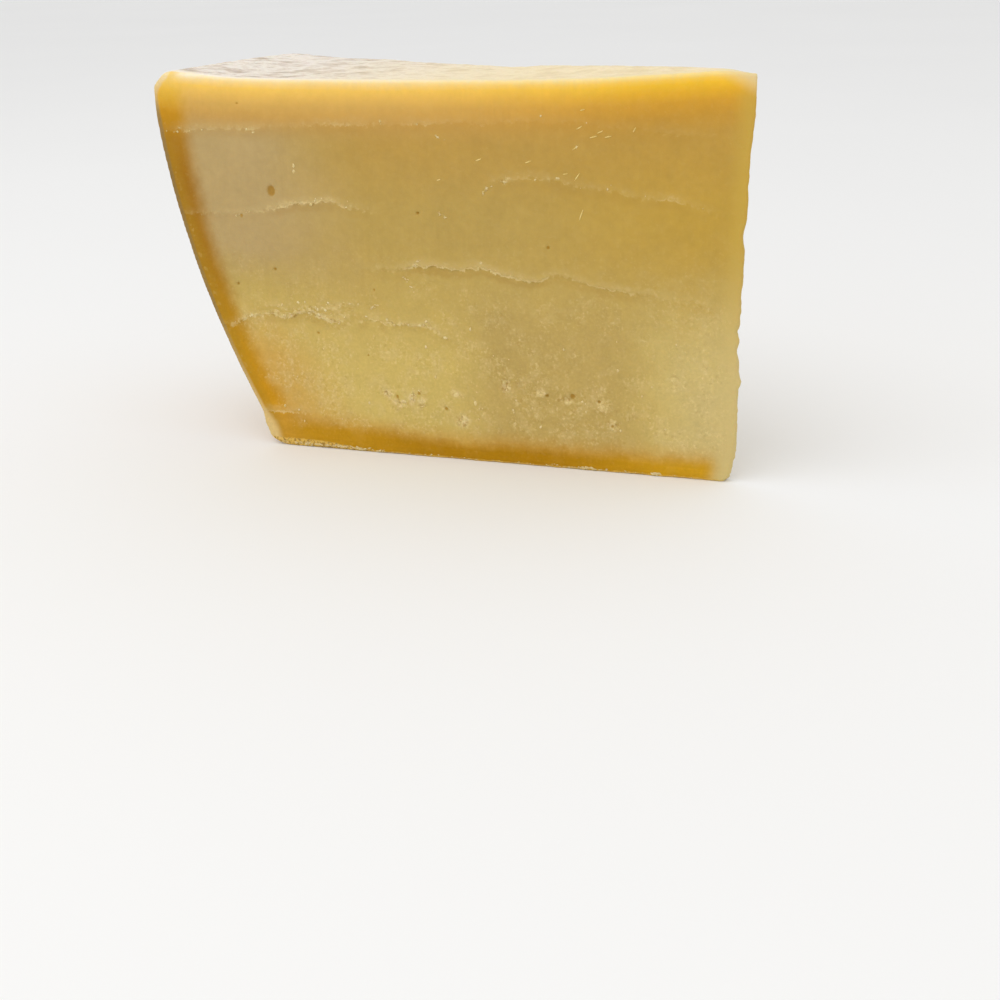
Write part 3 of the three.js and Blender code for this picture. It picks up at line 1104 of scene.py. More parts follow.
@dataclass(frozen=True)
class BitDraw:
    """Draws where the bits of the cut faces lie.

    Attributes:
        wheel: the wheel.
        crumb_heights, crystal_heights: the lowest and the highest that they lie.
        crumb_margins, crystal_margins: how far they keep from the axis and from the side.
        seed: the number that the draws start from.
    """

    wheel: Wheel
    crumb_heights: Row = (2 * MM, 120 * MM)
    crumb_margins: Row = (8 * MM, 2 * MM)
    crystal_heights: Row = (9 * MM, 118 * MM)
    crystal_margins: Row = (9 * MM, 9 * MM)
    seed: int = 71

    def crumbs(self, relief: CutRelief) -> list[Bit]:
        """Crumbs on the fractures' rims and in the crumbled places.

        Args:
            relief: the cut's relief.

        Returns:
            The crumbs.
        """
        draw = np.random.default_rng(self.seed + relief.seed)
        tries = relief.crumb_tries
        near_axis, near_side = self.crumb_margins
        height = draw.uniform(*self.crumb_heights, tries)
        across = draw.uniform(near_axis, self.wheel.side(height) - near_side)
        found = relief.survey(across, height)
        near = np.exp(-((found.above - 0.5 * MM) / (1.1 * MM)) ** 2)
        chance = 0.9 * near * found.open * found.flecked ** 2
        chance = np.maximum(chance, 0.5 * found.crumbled ** 3)
        chosen = draw.uniform(0, 1, tries) < chance * (found.hollow < 0.05)
        size = (0.16 + 0.44 * draw.uniform(0, 1, tries) ** 2) * MM
        stretch = draw.uniform(0.7, 1.5, tries)
        turn = draw.uniform(0, math.pi, tries)
        return [
            Bit(across[n], height[n], (size[n] * stretch[n], size[n], size[n] * 0.6), turn[n])
            for n in np.nonzero(chosen)[0]
        ]

    def crystals(self, relief: CutRelief) -> list[Bit]:
        """Small pale crystals, most of them in the lower half.

        Args:
            relief: the cut's relief.

        Returns:
            The crystals.
        """
        draw = np.random.default_rng(self.seed + 7 * relief.seed)
        tries = relief.crystal_tries
        near_axis, near_side = self.crystal_margins
        height = draw.uniform(*self.crystal_heights, tries)
        across = draw.uniform(near_axis, self.wheel.side(height) - near_side)
        chance = 0.05 + 0.95 * smooth(height, 75 * MM, 25 * MM)
        chosen = draw.uniform(0, 1, tries) < chance
        size = (0.18 + 0.22 * draw.uniform(0, 1, tries) ** 2) * MM
        return [
            Bit(across[n], height[n], (size[n], size[n] * 1.3, size[n] * 0.6))
            for n in np.nonzero(chosen)[0]
        ]

    def rows(self, rows: tuple[Row, ...]) -> list[Bit]:
        """Bits strewn along straight lines on the cut.

        Args:
            rows: for each line its ends, how many bits it has and their size, in millimetres.

        Returns:
            The bits of one line after the other.
        """
        bits = []
        for *ends, count, size in rows:
            bits += self.row([end * MM for end in ends], count, size * MM)
        return bits

    def row(self, ends: list[float], count: int, size: float) -> list[Bit]:
        """Bits strewn along one straight line on the cut.

        Args:
            ends: the distance from the axis and the height of the line's start, then of its end.
            count: how many bits.
            size: half of a bit's usual length.

        Returns:
            The bits.
        """
        draw = np.random.default_rng(self.seed + count)
        bits = []
        for share in draw.uniform(0, 1, count):
            across, height = (a + share * (b - a) for a, b in zip(ends[:2], ends[2:]))
            scale = size * draw.uniform(0.5, 1.3)
            offset = draw.normal(0, 0.25 * MM, 2)
            bits.append(Bit(
                across + offset[0],
                max(height + offset[1], 0.5 * MM),
                (scale * draw.uniform(0.8, 1.8), scale * 0.6, scale * 0.5),
                draw.uniform(-0.4, 0.4),
            ))
        return bits


# Rows of crumbs, in millimetres: the distance from the axis and the height of each end, how many
# crumbs there are, and half of their usual length.
FRONT_ROWS = (
    (90.5, 90.5, 87, 93, 14, 0.3), (115.5, 65.5, 113, 68.5, 13, 0.3),
    (132, 51, 128.5, 52.5, 15, 0.3), (106, 108.5, 102.5, 107, 10, 0.26),
    (106, 84, 103, 82.5, 11, 0.26), (119, 63, 115, 57, 17, 0.26), (179, 81, 172, 83, 9, 0.26),
    (58.5, 0.8, 53.5, 0.8, 16, 0.5), (34.5, 0.8, 31.5, 0.9, 12, 0.5),
    (169, 1.3, 128, 0.9, 90, 0.42), (128, 0.7, 20, 0.7, 60, 0.26),
)
BACK_ROWS = ((166, 1, 90, 0.9, 61, 0.36),)

# Crystals that stand out on the long cut: distance from the axis, height and half of their size.
BOLD_CRYSTALS = (
    (156, 97.9, 1.2), (156, 96, 1), (95, 20.4, 1.4), (81.2, 14.4, 1), (72.3, 13.9, 0.9),
    (98.5, 14.6, 1), (46, 35, 0.7), (75, 20.4, 0.5), (109, 28.8, 0.6), (64, 41, 0.5),
    (27, 44.7, 0.5), (38, 27, 0.5), (45, 14.8, 0.6), (112, 39, 0.7), (96, 46, 0.7),
    (81.6, 18.4, 0.6),
)

# Shavings on the long cut: distance from the axis, height, half of their length and slope.
FRONT_SHAVINGS = (
    (59, 96.4, 1.5, 55), (57.8, 84.7, 1.8, 70), (58.2, 111.3, 1.1, 30), (53.8, 108.6, 1.2, 15),
    (49.1, 108.7, 1.2, 12), (51.6, 110.1, 1, 25), (74.8, 100.7, 1.1, 20), (91.3, 101, 1, 20),
    (59.5, 105.2, 1.2, 35), (57.2, 116.6, 0.8, 15), (62.8, 97.2, 0.8, 10), (40.9, 110.9, 0.9, 60),
    (105, 94.4, 0.7, 20),
)
BACK_SHAVINGS = (
    (70, 98, 1.4, 40), (88, 92, 1.1, -20), (112, 101, 1.3, 65), (140, 70, 1, 15), (61, 70, 1.2, -50),
)


def bold_crystals() -> list[Bit]:
    """The crystals that stand out on the long cut."""
    return [
        Bit(across * MM, height * MM, (size * 0.6 * MM, size * 0.85 * MM, size * 0.4 * MM))
        for across, height, size in BOLD_CRYSTALS
    ]


def shavings(rows: tuple[Row, ...]) -> list[Bit]:
    """The shavings of one cut, from rows of their place, half length and slope."""
    return [
        Bit(across * MM, height * MM, (long * MM, 0.2 * MM, 0.12 * MM), math.radians(slope))
        for across, height, long, slope in rows
    ]


# ---------------------------------------------------------------------------------------------
# Shader maths


def operator(kind: str, turned: bool = False) -> Callable[..., "Signal"]:
    """Makes an operator of Signal that adds one Math node.

    Args:
        kind: the node's operation.
        turned: true where the signal comes second, as in 1 - signal.

    Returns:
        A method that takes the other number, if there is one.
    """
    def act(self: "Signal", *others: "Number") -> "Signal":
        numbers = (*others, self) if turned else (self, *others)
        return self.graph.math(kind, *numbers)
    return act


class Signal:
    """A number that varies over a surface: a node's output that Python's operators act on."""

    __add__ = operator("ADD")
    __radd__ = operator("ADD", turned=True)
    __sub__ = operator("SUBTRACT")
    __rsub__ = operator("SUBTRACT", turned=True)
    __mul__ = operator("MULTIPLY")
    __rmul__ = operator("MULTIPLY", turned=True)
    __truediv__ = operator("DIVIDE")
    __abs__ = operator("ABSOLUTE")
    exp = operator("EXPONENT")
    root = operator("SQRT")
    least = operator("MINIMUM")
    most = operator("MAXIMUM")

    def __init__(self, graph: "Graph", socket: bpy.types.NodeSocket) -> None:
        """Wraps a socket of a graph."""
        self.graph = graph
        self.socket = socket

    def __neg__(self) -> "Signal":
        """The number with its sign turned."""
        return self * -1

    def wave(self, length: float) -> "Signal":
        """A sine wave of some length along the number, from -1 to 1."""
        return self.graph.math("SINE", self * (2 * math.pi / length))

    def rise(self, low: float, high: float) -> "Signal":
        """A smooth rise along the number.

        Args:
            low: where it starts, with 0.
            high: where it ends, with 1.

        Returns:
            A share from 0 to 1.
        """
        settings = {"interpolation_type": "SMOOTHSTEP"}
        inputs = {"Value": self, "From Min": low, "From Max": high}
        node = self.graph.node("ShaderNodeMapRange", settings, inputs)
        return Signal(self.graph, node.outputs[0])

    def fall(self, low: float, high: float) -> "Signal":
        """Falls smoothly from 1 at low to 0 at high."""
        return 1 - self.rise(low, high)


class Shade(Signal):
    """A colour that varies over a surface."""


Number = Signal | float | int
Hue = Shade | Colour
Stops = tuple[tuple[float, Colour], ...]
Settings = dict[str, object]


class Graph:
    """The node tree of one material."""

    def __init__(self, name: str) -> None:
        """Starts an empty material."""
        self.material = bpy.data.materials.new(name)
        self.material.use_nodes = True
        self.tree = self.material.node_tree
        self.tree.nodes.clear()
        coordinates = self.node("ShaderNodeTexCoord")
        self.place = Signal(self, coordinates.outputs["Object"])

    def node(
        self,
        kind: str,
        settings: Settings | None = None,
        inputs: dict[str | int, object] | None = None,
    ) -> bpy.types.Node:
        """Adds a node.

        Args:
            kind: the node's type.
            settings: its settings, which are set first. "stops" fills a ramp with pairs of a
                place and a colour.
            inputs: values or signals for its sockets, by name or number.

        Returns:
            The node.
        """
        node = self.tree.nodes.new(kind)
        for name, value in (settings or {}).items():
            if name == "stops":
                self.fill_ramp(node.color_ramp, value)
            else:
                setattr(node, name, value)
        for key, value in (inputs or {}).items():
            socket = node.inputs[key]
            if isinstance(value, Signal):
                self.tree.links.new(value.socket, socket)
            elif isinstance(value, tuple) and socket.type == "RGBA":
                socket.default_value = (*value, 1)
            else:
                socket.default_value = value
        return node

    def fill_ramp(self, ramp: bpy.types.ColorRamp, stops: Stops) -> None:
        """Replaces a ramp's stops.

        Args:
            ramp: the ramp, which is changed.
            stops: the places and the colours that it gets.
        """
        while len(ramp.elements) > 1:
            ramp.elements.remove(ramp.elements[-1])
        for index, (position, colour) in enumerate(stops):
            element = ramp.elements[0] if index == 0 else ramp.elements.new(position)
            element.position = position
            element.color = (*colour, 1)

    def math(self, operation: str, *values: Number) -> Signal:
        """A sum of numbers, by a Math node."""
        node = self.node("ShaderNodeMath", {"operation": operation}, dict(enumerate(values)))
        return Signal(self, node.outputs[0])

    def attribute(self, name: str) -> Signal:
        """A number that the mesh holds for each vertex."""
        node = self.node("ShaderNodeAttribute", {"attribute_name": name})
        return Signal(self, node.outputs["Fac"])

    def parts(self, vector: Signal) -> tuple[Signal, Signal, Signal]:
        """The three parts of a vector."""
        node = self.node("ShaderNodeSeparateXYZ", None, {0: vector})
        return tuple(Signal(self, node.outputs[index]) for index in range(3))

    def moved(self, by: Vector, scale: tuple[float, float, float] = (1, 1, 1)) -> Signal:
        """The place on the surface, moved and then scaled.

        Args:
            by: what is taken away from the place.
            scale: what its three parts are then multiplied by.

        Returns:
            The vector.
        """
        shifted = self.vector("SUBTRACT", self.place, tuple(by)).outputs[0]
        scaled = self.vector("MULTIPLY", Signal(self, shifted), scale).outputs[0]
        return Signal(self, scaled)

    def vector(self, operation: str, *values: object) -> bpy.types.Node:
        """Adds a Vector Math node."""
        settings = {"operation": operation}
        return self.node("ShaderNodeVectorMath", settings, dict(enumerate(values)))

    def length(self, vector: Signal) -> Signal:
        """The length of a vector."""
        return Signal(self, self.vector("LENGTH", vector).outputs["Value"])

    def noise(
        self,
        size: float,
        detail: float = 2,
        rough: float = 0.5,
        at: Signal | None = None,
        warp: float = 0,
    ) -> Signal:
        """Smooth noise.

        Args:
            size: how large its features are, about.
            detail: how many finer layers it has.
            rough: how strong each layer is beside the one before it.
            at: where it is read, or nothing for the place on the surface.
            warp: how much it is distorted.

        Returns:
            A number from 0 to 1.
        """
        node = self.node("ShaderNodeTexNoise", None, {
            "Vector": at or self.place,
            "Scale": 1 / size,
            "Detail": detail,
            "Roughness": rough,
            "Distortion": warp,
        })
        return Signal(self, node.outputs[0])

    def mix(self, first: Hue, second: Hue, share: Number) -> Shade:
        """Blends two colours, with the share of the second that is seen."""
        node = self.node("ShaderNodeMix", {"data_type": "RGBA"}, {0: share, 6: first, 7: second})
        return Shade(self, node.outputs[2])

    def coats(self, colour: Hue, *coats: tuple[Hue, Number]) -> Shade:
        """Lays coats of colour over a colour.

        Args:
            colour: the colour under them.
            coats: the colour of each and the share of it that is seen, from the lowest up.

        Returns:
            The colour that shows.
        """
        for coat, share in coats:
            colour = self.mix(colour, coat, share)
        return colour

    def ramp(self, value: Number, stops: Stops) -> Shade:
        """Turns a number into a colour by a run of stops."""
        node = self.node("ShaderNodeValToRGB", {"stops": stops}, {0: value})
        return Shade(self, node.outputs[0])

    def brighten(self, colour: Hue, share: Number) -> Shade:
        """Multiplies a colour by a number."""
        node = self.node("ShaderNodeVectorMath", {"operation": "SCALE"}, {0: colour, "Scale": share})
        return Shade(self, node.outputs[0])

    def finish(
        self,
        colour: Hue,
        roughness: Number,
        height: Signal | None = None,
        bump: float = 1,
        fixed: Settings | None = None,
    ) -> bpy.types.Material:
        """Ends the tree in one surface.

        Args:
            colour: the base colour.
            roughness: the roughness.
            height: the fine relief in metres, or nothing.
            bump: how strongly the fine relief shows.
            fixed: values that are the same all over, by the names of their sockets.

        Returns:
            The material.
        """
        inputs = {"Base Color": colour, "Roughness": roughness, **(fixed or {})}
        if height is not None:
            relief = self.node(
                "ShaderNodeBump", None, {"Strength": bump, "Distance": 1.0, "Height": height}
            )
            inputs["Normal"] = Signal(self, relief.outputs[0])
        surface = self.node("ShaderNodeBsdfPrincipled", None, inputs)
        shader = Signal(self, surface.outputs[0])
        self.node("ShaderNodeOutputMaterial", None, {"Surface": shader})
        return self.material


# ---------------------------------------------------------------------------------------------
# Finishes


def tones(*rows: Row) -> Stops:
    """Makes a ramp's stops, each from its place and the three parts of its screen colour."""
    return tuple((place, paint(*parts)) for place, *parts in rows)


WAXY = {
    "Subsurface Weight": 0.15,
    "Subsurface Radius": (1.0, 0.55, 0.2),
    "Subsurface Scale": 3 * MM,
    "Specular IOR Level": 0.13,
}


@dataclass(frozen=True)
class Look:
    """What one part of a surface looks like: its colour, roughness and fine relief."""

    colour: Shade
    roughness: Signal
    height: Signal


@dataclass(frozen=True)
class Whereabouts:
    """Where a point of the surface lies in the wheel, as signals in metres."""

    radius: Signal
    height: Signal
    to_side: Signal                # how far it lies inside the barrel side
    to_top: Signal                 # and how far under the top
    rim: Signal                    # how far it lies inside the rounded rim, near the rim
    behind: Signal                 # how far it lies behind the long cut
    gap: Signal                    # how far it lies behind the nearest cut

    def low(self) -> Signal:
        """1 in the crumblier lower part, fading to 0 above it."""
        return self.height.fall(28 * MM, 85 * MM)

    @classmethod
    def read(cls, graph: Graph, wheel: Wheel) -> "Whereabouts":
        """Works them out from the place on the surface.

        Args:
            graph: the material's graph.
            wheel: the wheel, whose side and top follow the same curves here.

        Returns:
            The signals.
        """
        flat = graph.moved(wheel.axis, (1, 1, 0))
        radius = graph.length(flat)
        behind = graph.parts(graph.place)[1] - wheel.axis.y
        height = graph.parts(graph.place)[2] - wheel.axis.z
        below = wheel.widest_height - height
        flare = wheel.foot_flare * (height / -wheel.foot_flare_height).exp()
        side = wheel.widest_radius - below * below / (2 * wheel.bulge_radius) + flare
        over_middle = radius / wheel.hump_reach
        over_rim = (wheel.widest_radius - radius) / wheel.lip_reach
        hump = wheel.hump * (-(over_middle * over_middle)).exp()
        lip = wheel.lip * (-(over_rim * over_rim)).exp()
        top = wheel.top_height + hump + lip
        to_side, to_top = side - radius, top - height
        over_side = (wheel.rim_round - to_side).most(0)
        over_top = (wheel.rim_round - to_top).most(0)
        rim = wheel.rim_round - (over_side * over_side + over_top * over_top).root()
        return cls(radius, height, to_side, to_top, rim, behind, graph.attribute("gap"))


@dataclass(frozen=True)
class Texture:
    """The noises that the paste's finish is made from, from large to small."""

    cloud: Signal
    stain: Signal
    grain: Signal
    blob: Signal
    dot: Signal
    clod: Signal
    dust: Signal

    @classmethod
    def read(cls, graph: Graph) -> "Texture":
        """Makes the noises.

        Args:
            graph: the material's graph.

        Returns:
            All of them.
        """
        aside = Vector((0.3, 0.3, 0.3))
        return cls(
            cloud=graph.noise(24 * MM, 3, 0.55),
            stain=graph.noise(7 * MM, 4, 0.6),
            grain=graph.noise(2.4 * MM, 3, 0.6),
            blob=graph.noise(1.7 * MM, 2, 0.5),
            dot=graph.noise(1.3 * MM, 1, 0.5, at=graph.moved(aside)),
            clod=graph.noise(1.0 * MM, 3, 0.62),
            dust=graph.noise(0.5 * MM, 2, 0.6),
        )


@dataclass(frozen=True)
class PasteFinish:
    """The cut paste: golden, amber under the rind, pale along fractures and where it crumbled."""

    middle: Colour = paint(188, 158, 84)
    low: Colour = paint(208, 183, 104)
    low_outer: Colour = paint(208, 166, 82)
    low_inner: Colour = paint(208, 186, 122)
    dull: Colour = paint(188, 160, 92)
    outer: Colour = paint(187, 160, 107)
    inner: Colour = paint(194, 157, 64)
    high: Colour = paint(190, 149, 68)
    tip: Colour = paint(200, 166, 72)
    amber_outer: Colour = paint(192, 142, 18)
    amber_low: Colour = paint(178, 128, 0)
    amber_tip: Colour = paint(207, 157, 22)
    amber_edge: Colour = paint(200, 150, 56)
    crust: Colour = paint(224, 186, 94)
    crack: Colour = paint(138, 102, 42)
    bead: Colour = paint(212, 180, 108)
    khaki: Colour = paint(170, 130, 30)
    corner: Colour = paint(224, 204, 156)
    pale: Colour = paint(232, 210, 150)
    veil: Colour = paint(214, 190, 134)
    # Painted shade, for pits, dots and the step under each fracture.
    shadowed: Colour = paint(146, 102, 18)
    # Painted shade inside the eyes.
    eye: Colour = paint(172, 126, 24)
    # The bright zone under the top, by the share of its depth: near the rind, then near the tip. It
    # is painted glow of the light from above through the paste, and its palest first stops are a
    # painted highlight on the rounded top edge.
    glow_outer: Stops = tones(
        (0.0, 250, 237, 204), (0.05, 250, 220, 154), (0.1, 250, 211, 126), (0.16, 248, 202, 95),
        (0.27, 234, 187, 92), (0.4, 216, 171, 88), (0.6, 204, 158, 80), (1.0, 192, 155, 90),
    )
    glow_inner: Stops = tones(
        (0.0, 242, 222, 168), (0.05, 248, 216, 130), (0.1, 248, 203, 82), (0.16, 243, 192, 50),
        (0.27, 230, 175, 44), (0.4, 214, 159, 50), (0.6, 200, 150, 54), (1.0, 194, 150, 66),
    )
    # The amber zone under the rind, from the top down; its bright first stops carry the painted glow
    # of the light from above under the top.
    amber: Stops = tones(
        (0.0, 250, 214, 120), (0.04, 236, 188, 68), (0.095, 203, 146, 22), (0.17, 172, 120, 10),
        (0.28, 160, 109, 6), (0.5, 168, 118, 8), (0.7, 191, 139, 6), (0.84, 204, 146, 8),
        (0.91, 218, 162, 30), (1.0, 198, 147, 38),
    )
    # The skin of the rind, seen edge on: pale at both ends and dull olive between.
    skin: Stops = tones(
        (0.0, 242, 222, 172), (0.05, 214, 184, 124), (0.1, 152, 126, 76), (0.26, 138, 113, 64),
        (0.62, 150, 124, 70), (0.76, 186, 158, 98), (0.93, 222, 194, 130),
    )
    face_height: float = 128 * MM  # about the height of the cut at the rind
    glow_start: float = -0.2 * MM  # how far under the top the bright zone starts
    glow_depth: float = 22 * MM
    lightness: float = 0.965

    def look(self, graph: Graph, where: Whereabouts) -> Look:
        """Builds the finish.

        Args:
            graph: the material's graph.
            where: the place in the wheel.

        Returns:
            Its colour, roughness and fine relief.
        """
        texture = Texture.read(graph)
        colour = self.body(graph, where, texture)
        colour = self.under_top(graph, where, colour, texture)
        colour = self.under_rind(graph, where, colour, texture)
        tone = self.lightness + 0.12 * (texture.cloud - 0.5) + 0.14 * (texture.stain - 0.5)
        tone = tone + 0.16 * (texture.grain - 0.5) + self.strokes(graph, where)
        tone = tone + 0.24 * (texture.clod - 0.5) * where.low()
        colour = graph.brighten(colour, tone)
        colour, density = self.flecks(graph, where, colour, texture)
        colour = self.fractures(graph, colour, texture)
        # The eyes are darkened inside with painted shade.
        colour = graph.mix(colour, self.eye, graph.attribute("hollow").rise(0.1, 0.8) * 0.7)
        colour = self.edges(graph, where, colour, texture)
        roughness = 0.46 + 0.14 * texture.grain + 0.15 * density
        rough = 0.05 + 0.3 * density
        height = MM * (0.05 * texture.grain + rough * texture.clod + 0.03 * texture.dust)
        return Look(colour, roughness, height)

    def body(self, graph: Graph, where: Whereabouts, texture: Texture) -> Shade:
        """The paste's own colour, away from the rind and the top.

        Args:
            graph: the material's graph.
            where: the place in the wheel.
            texture: the paste's noises.

        Returns:
            The colour.
        """
        drift = 24 * MM * (texture.cloud - 0.5)
        height = where.height + drift
        radius = where.radius + drift
        low = height.fall(22 * MM, 80 * MM)
        warm = where.to_side.fall(8 * MM, 44 * MM) * height.fall(28 * MM, 52 * MM)
        between = radius.rise(26 * MM, 50 * MM) * radius.fall(82 * MM, 112 * MM)
        outer = radius.rise(125 * MM, 175 * MM) * height.rise(50 * MM, 70 * MM)
        inner = radius.fall(20 * MM, 90 * MM) * height.rise(48 * MM, 86 * MM)
        return graph.coats(
            self.middle,
            (self.low, low),
            (self.low_outer, warm),
            (self.dull, between * height.fall(44 * MM, 72 * MM) * 0.85),
            (self.low_inner, radius.fall(12 * MM, 48 * MM) * low),
            (self.outer, outer),
            (self.inner, inner * 0.9),
        )

    def under_top(
        self, graph: Graph, where: Whereabouts, colour: Shade, texture: Texture
    ) -> Shade:
        """The bright zone under the top, more golden towards the tip: painted glow of the light from
        above through the paste, with a painted highlight along the rounded top edge.

        Args:
            graph: the material's graph.
            where: the place in the wheel.
            colour: the colour so far.
            texture: the paste's noises.

        Returns:
            The colour with the zone.
        """
        drift = 1.5 * MM * (texture.cloud - 0.5) + 1.2 * MM * (texture.grain - 0.5)
        # Beside the rim the pale line at the top, a painted highlight, is a little wider.
        wider = where.to_side.fall(6 * MM, 24 * MM) * where.to_top.fall(1 * MM, 3.5 * MM)
        down = (where.to_top - 0.9 * MM * wider - self.glow_start + drift) / self.glow_depth
        outer = graph.ramp(down, self.glow_outer)
        inner = graph.ramp(down, self.glow_inner)
        glow = graph.mix(inner, outer, where.radius.rise(20 * MM, 130 * MM))
        warm = where.to_top.fall(16 * MM, 46 * MM) * where.radius.fall(120 * MM, 170 * MM)
        return graph.coats(colour, (self.high, warm * 0.7), (glow, down.fall(0.45, 1.0)))

    def under_rind(
        self, graph: Graph, where: Whereabouts, colour: Shade, texture: Texture
    ) -> Shade:
        """The amber zone under the rind, at the side and along the base.

        Args:
            graph: the material's graph.
            where: the place in the wheel.
            colour: the colour so far.
            texture: the paste's noises.

        Returns:
            The colour with the zone, whose inner edge is soft.
        """
        stray = 3 * MM * (texture.stain - 0.5) + 2 * MM * (texture.cloud - 0.5)
        stray = stray + 1.6 * MM * (texture.grain - 0.5)
        amber = graph.ramp(where.to_top / self.face_height, self.amber)
        foot = where.height.fall(10 * MM, 34 * MM)
        head = where.height.rise(72 * MM, 100 * MM)
        side = (where.to_side + stray - 1.5 * MM * foot - 1 * MM * head).fall(4.5 * MM, 12.5 * MM)
        outer = where.radius.rise(105 * MM, 145 * MM)
        near_axis = where.radius.fall(18 * MM, 72 * MM)
        low = graph.coats(self.amber_low, (self.amber_tip, near_axis), (self.amber_outer, outer))
        over = where.height + stray - 2.6 * MM * outer
        tip = graph.attribute("point").rise(2 * MM, 10 * MM)
        soft = over.fall(5 * MM, 13 * MM) * tip
        core = over.fall(3.4 * MM, 8.6 * MM) * tip
        inside = where.to_side.rise(2 * MM, 14 * MM)
        return graph.coats(
            colour,
            (amber, side * 0.97),
            (self.amber_edge, soft * 0.7),
            (low, core * (0.25 + 0.75 * inside)),
        )

    def strokes(self, graph: Graph, where: Whereabouts) -> Signal:
        """Faint upright strokes of the knife, and level ones near the base.

        Args:
            graph: the material's graph.
            where: the place in the wheel.

        Returns:
            How much they brighten or darken the paste.
        """
        upright = graph.noise(1.1 * MM, 2, 0.6, at=graph.moved(Vector(), (1, 1, 0.05)))
        level = graph.noise(0.8 * MM, 2, 0.6, at=graph.moved(Vector(), (0.05, 0.05, 1)))
        patches = graph.noise(18 * MM, 2, 0.5).rise(0.42, 0.62)
        foot = where.height.fall(3 * MM, 12 * MM)
        return 0.08 * (upright - 0.5) * patches + 0.16 * (level - 0.5) * foot

    def flecks(
        self, graph: Graph, where: Whereabouts, colour: Shade, texture: Texture
    ) -> tuple[Shade, Signal]:
        """Pale grains, and dots and pits darkened with painted shade, thick where the paste
        crumbled.

        Args:
            graph: the material's graph.
            where: the place in the wheel.
            colour: the colour so far.
            texture: the paste's noises.

        Returns:
            The colour with the flecks, and how thick they are.
        """
        crumbled = graph.attribute("crumbled")
        near = (graph.attribute("above") - 0.3 * MM) / (1.1 * MM)
        rim = (-(near * near)).exp() * graph.attribute("open") * graph.attribute("flecked")
        patch = graph.noise(9 * MM, 3, 0.6).rise(0.38, 0.62)
        inland = where.height.rise(5 * MM, 12 * MM) * where.to_side.rise(4 * MM, 12 * MM)
        scattered = where.low() * patch * inland
        density = (0.04 + 0.32 * scattered).most(crumbled * 0.8).most(rim)
        blobs = (texture.blob + 0.2 * density).rise(0.6, 0.74) * (density * 2).least(1)
        specks = (texture.clod + 0.1 * density).rise(0.58, 0.7) * (density * 2).least(1)
        painted_shade_dots = (texture.dot + 0.12 * density).rise(0.64, 0.72) * (density * 1.5).least(1)
        haze = (graph.noise(4 * MM, 3, 0.6) + 0.15 * density).rise(0.46, 0.68) * density
        pit = graph.attribute("pit")
        broken = crumbled.rise(0.5, 0.85)
        lumps = broken * pit.fall(0.05, 0.3) * texture.clod.rise(0.35, 0.6)
        # The shadowed coats are painted shade in the small dots and at the bottom of the pits.
        colour = graph.coats(
            colour,
            (self.veil, haze * 0.7),
            (self.pale, specks * 0.4),
            (self.shadowed, painted_shade_dots * (0.28 + 0.3 * rim)),
            (self.pale, lumps * 0.5),
            (self.shadowed, pit.rise(0.4, 1) * (0.25 + 0.35 * broken)),
            (self.pale, blobs * (0.15 + 0.5 * texture.clod)),
        )
        return colour, density

    def fractures(self, graph: Graph, colour: Shade, texture: Texture) -> Shade:
        """The pale ragged rims of the fractures, partly crumbled paste and partly a painted
        highlight on the lip, the veil over them and the painted shade under them.

        Args:
            graph: the material's graph.
            colour: the colour so far.
            texture: the paste's noises.

        Returns:
            The colour with the fractures.
        """
        openness = graph.attribute("open")
        flecked = graph.attribute("flecked")
        stray = 3 * MM * (texture.grain - 0.5) + 1.8 * MM * (texture.blob - 0.5)
        above = graph.attribute("above") + stray + 0.8 * MM * (texture.dust - 0.5)
        kept = (texture.grain + 0.5 * openness).rise(0.6, 0.8)
        gaps = 1 - flecked * (1 - texture.blob.rise(0.4, 0.54))
        rim = abs(above).fall(0.1 * MM, 0.45 * MM) * openness * kept * gaps
        upper = above.rise(-0.3 * MM, 0.3 * MM)
        veil = upper * above.fall(0.4 * MM, 3.4 * MM) * openness
        dusting = upper * above.fall(0.8 * MM, 3.6 * MM) * texture.blob.rise(0.5, 0.62) * openness
        under = abs(above + 1.6 * MM).fall(0.3 * MM, 2.2 * MM) * openness
        whole = 1 - flecked
        # The shadowed coat is painted shade under the step, and the pale rim is partly a painted
        # highlight on its lip.
        return graph.coats(
            colour,
            (self.veil, veil * (0.2 + 0.25 * whole)),
            (self.pale, dusting * 0.2),
            (self.shadowed, under * (0.14 + 0.14 * whole)),
            (self.pale, rim * (0.5 + 0.4 * whole)),
        )

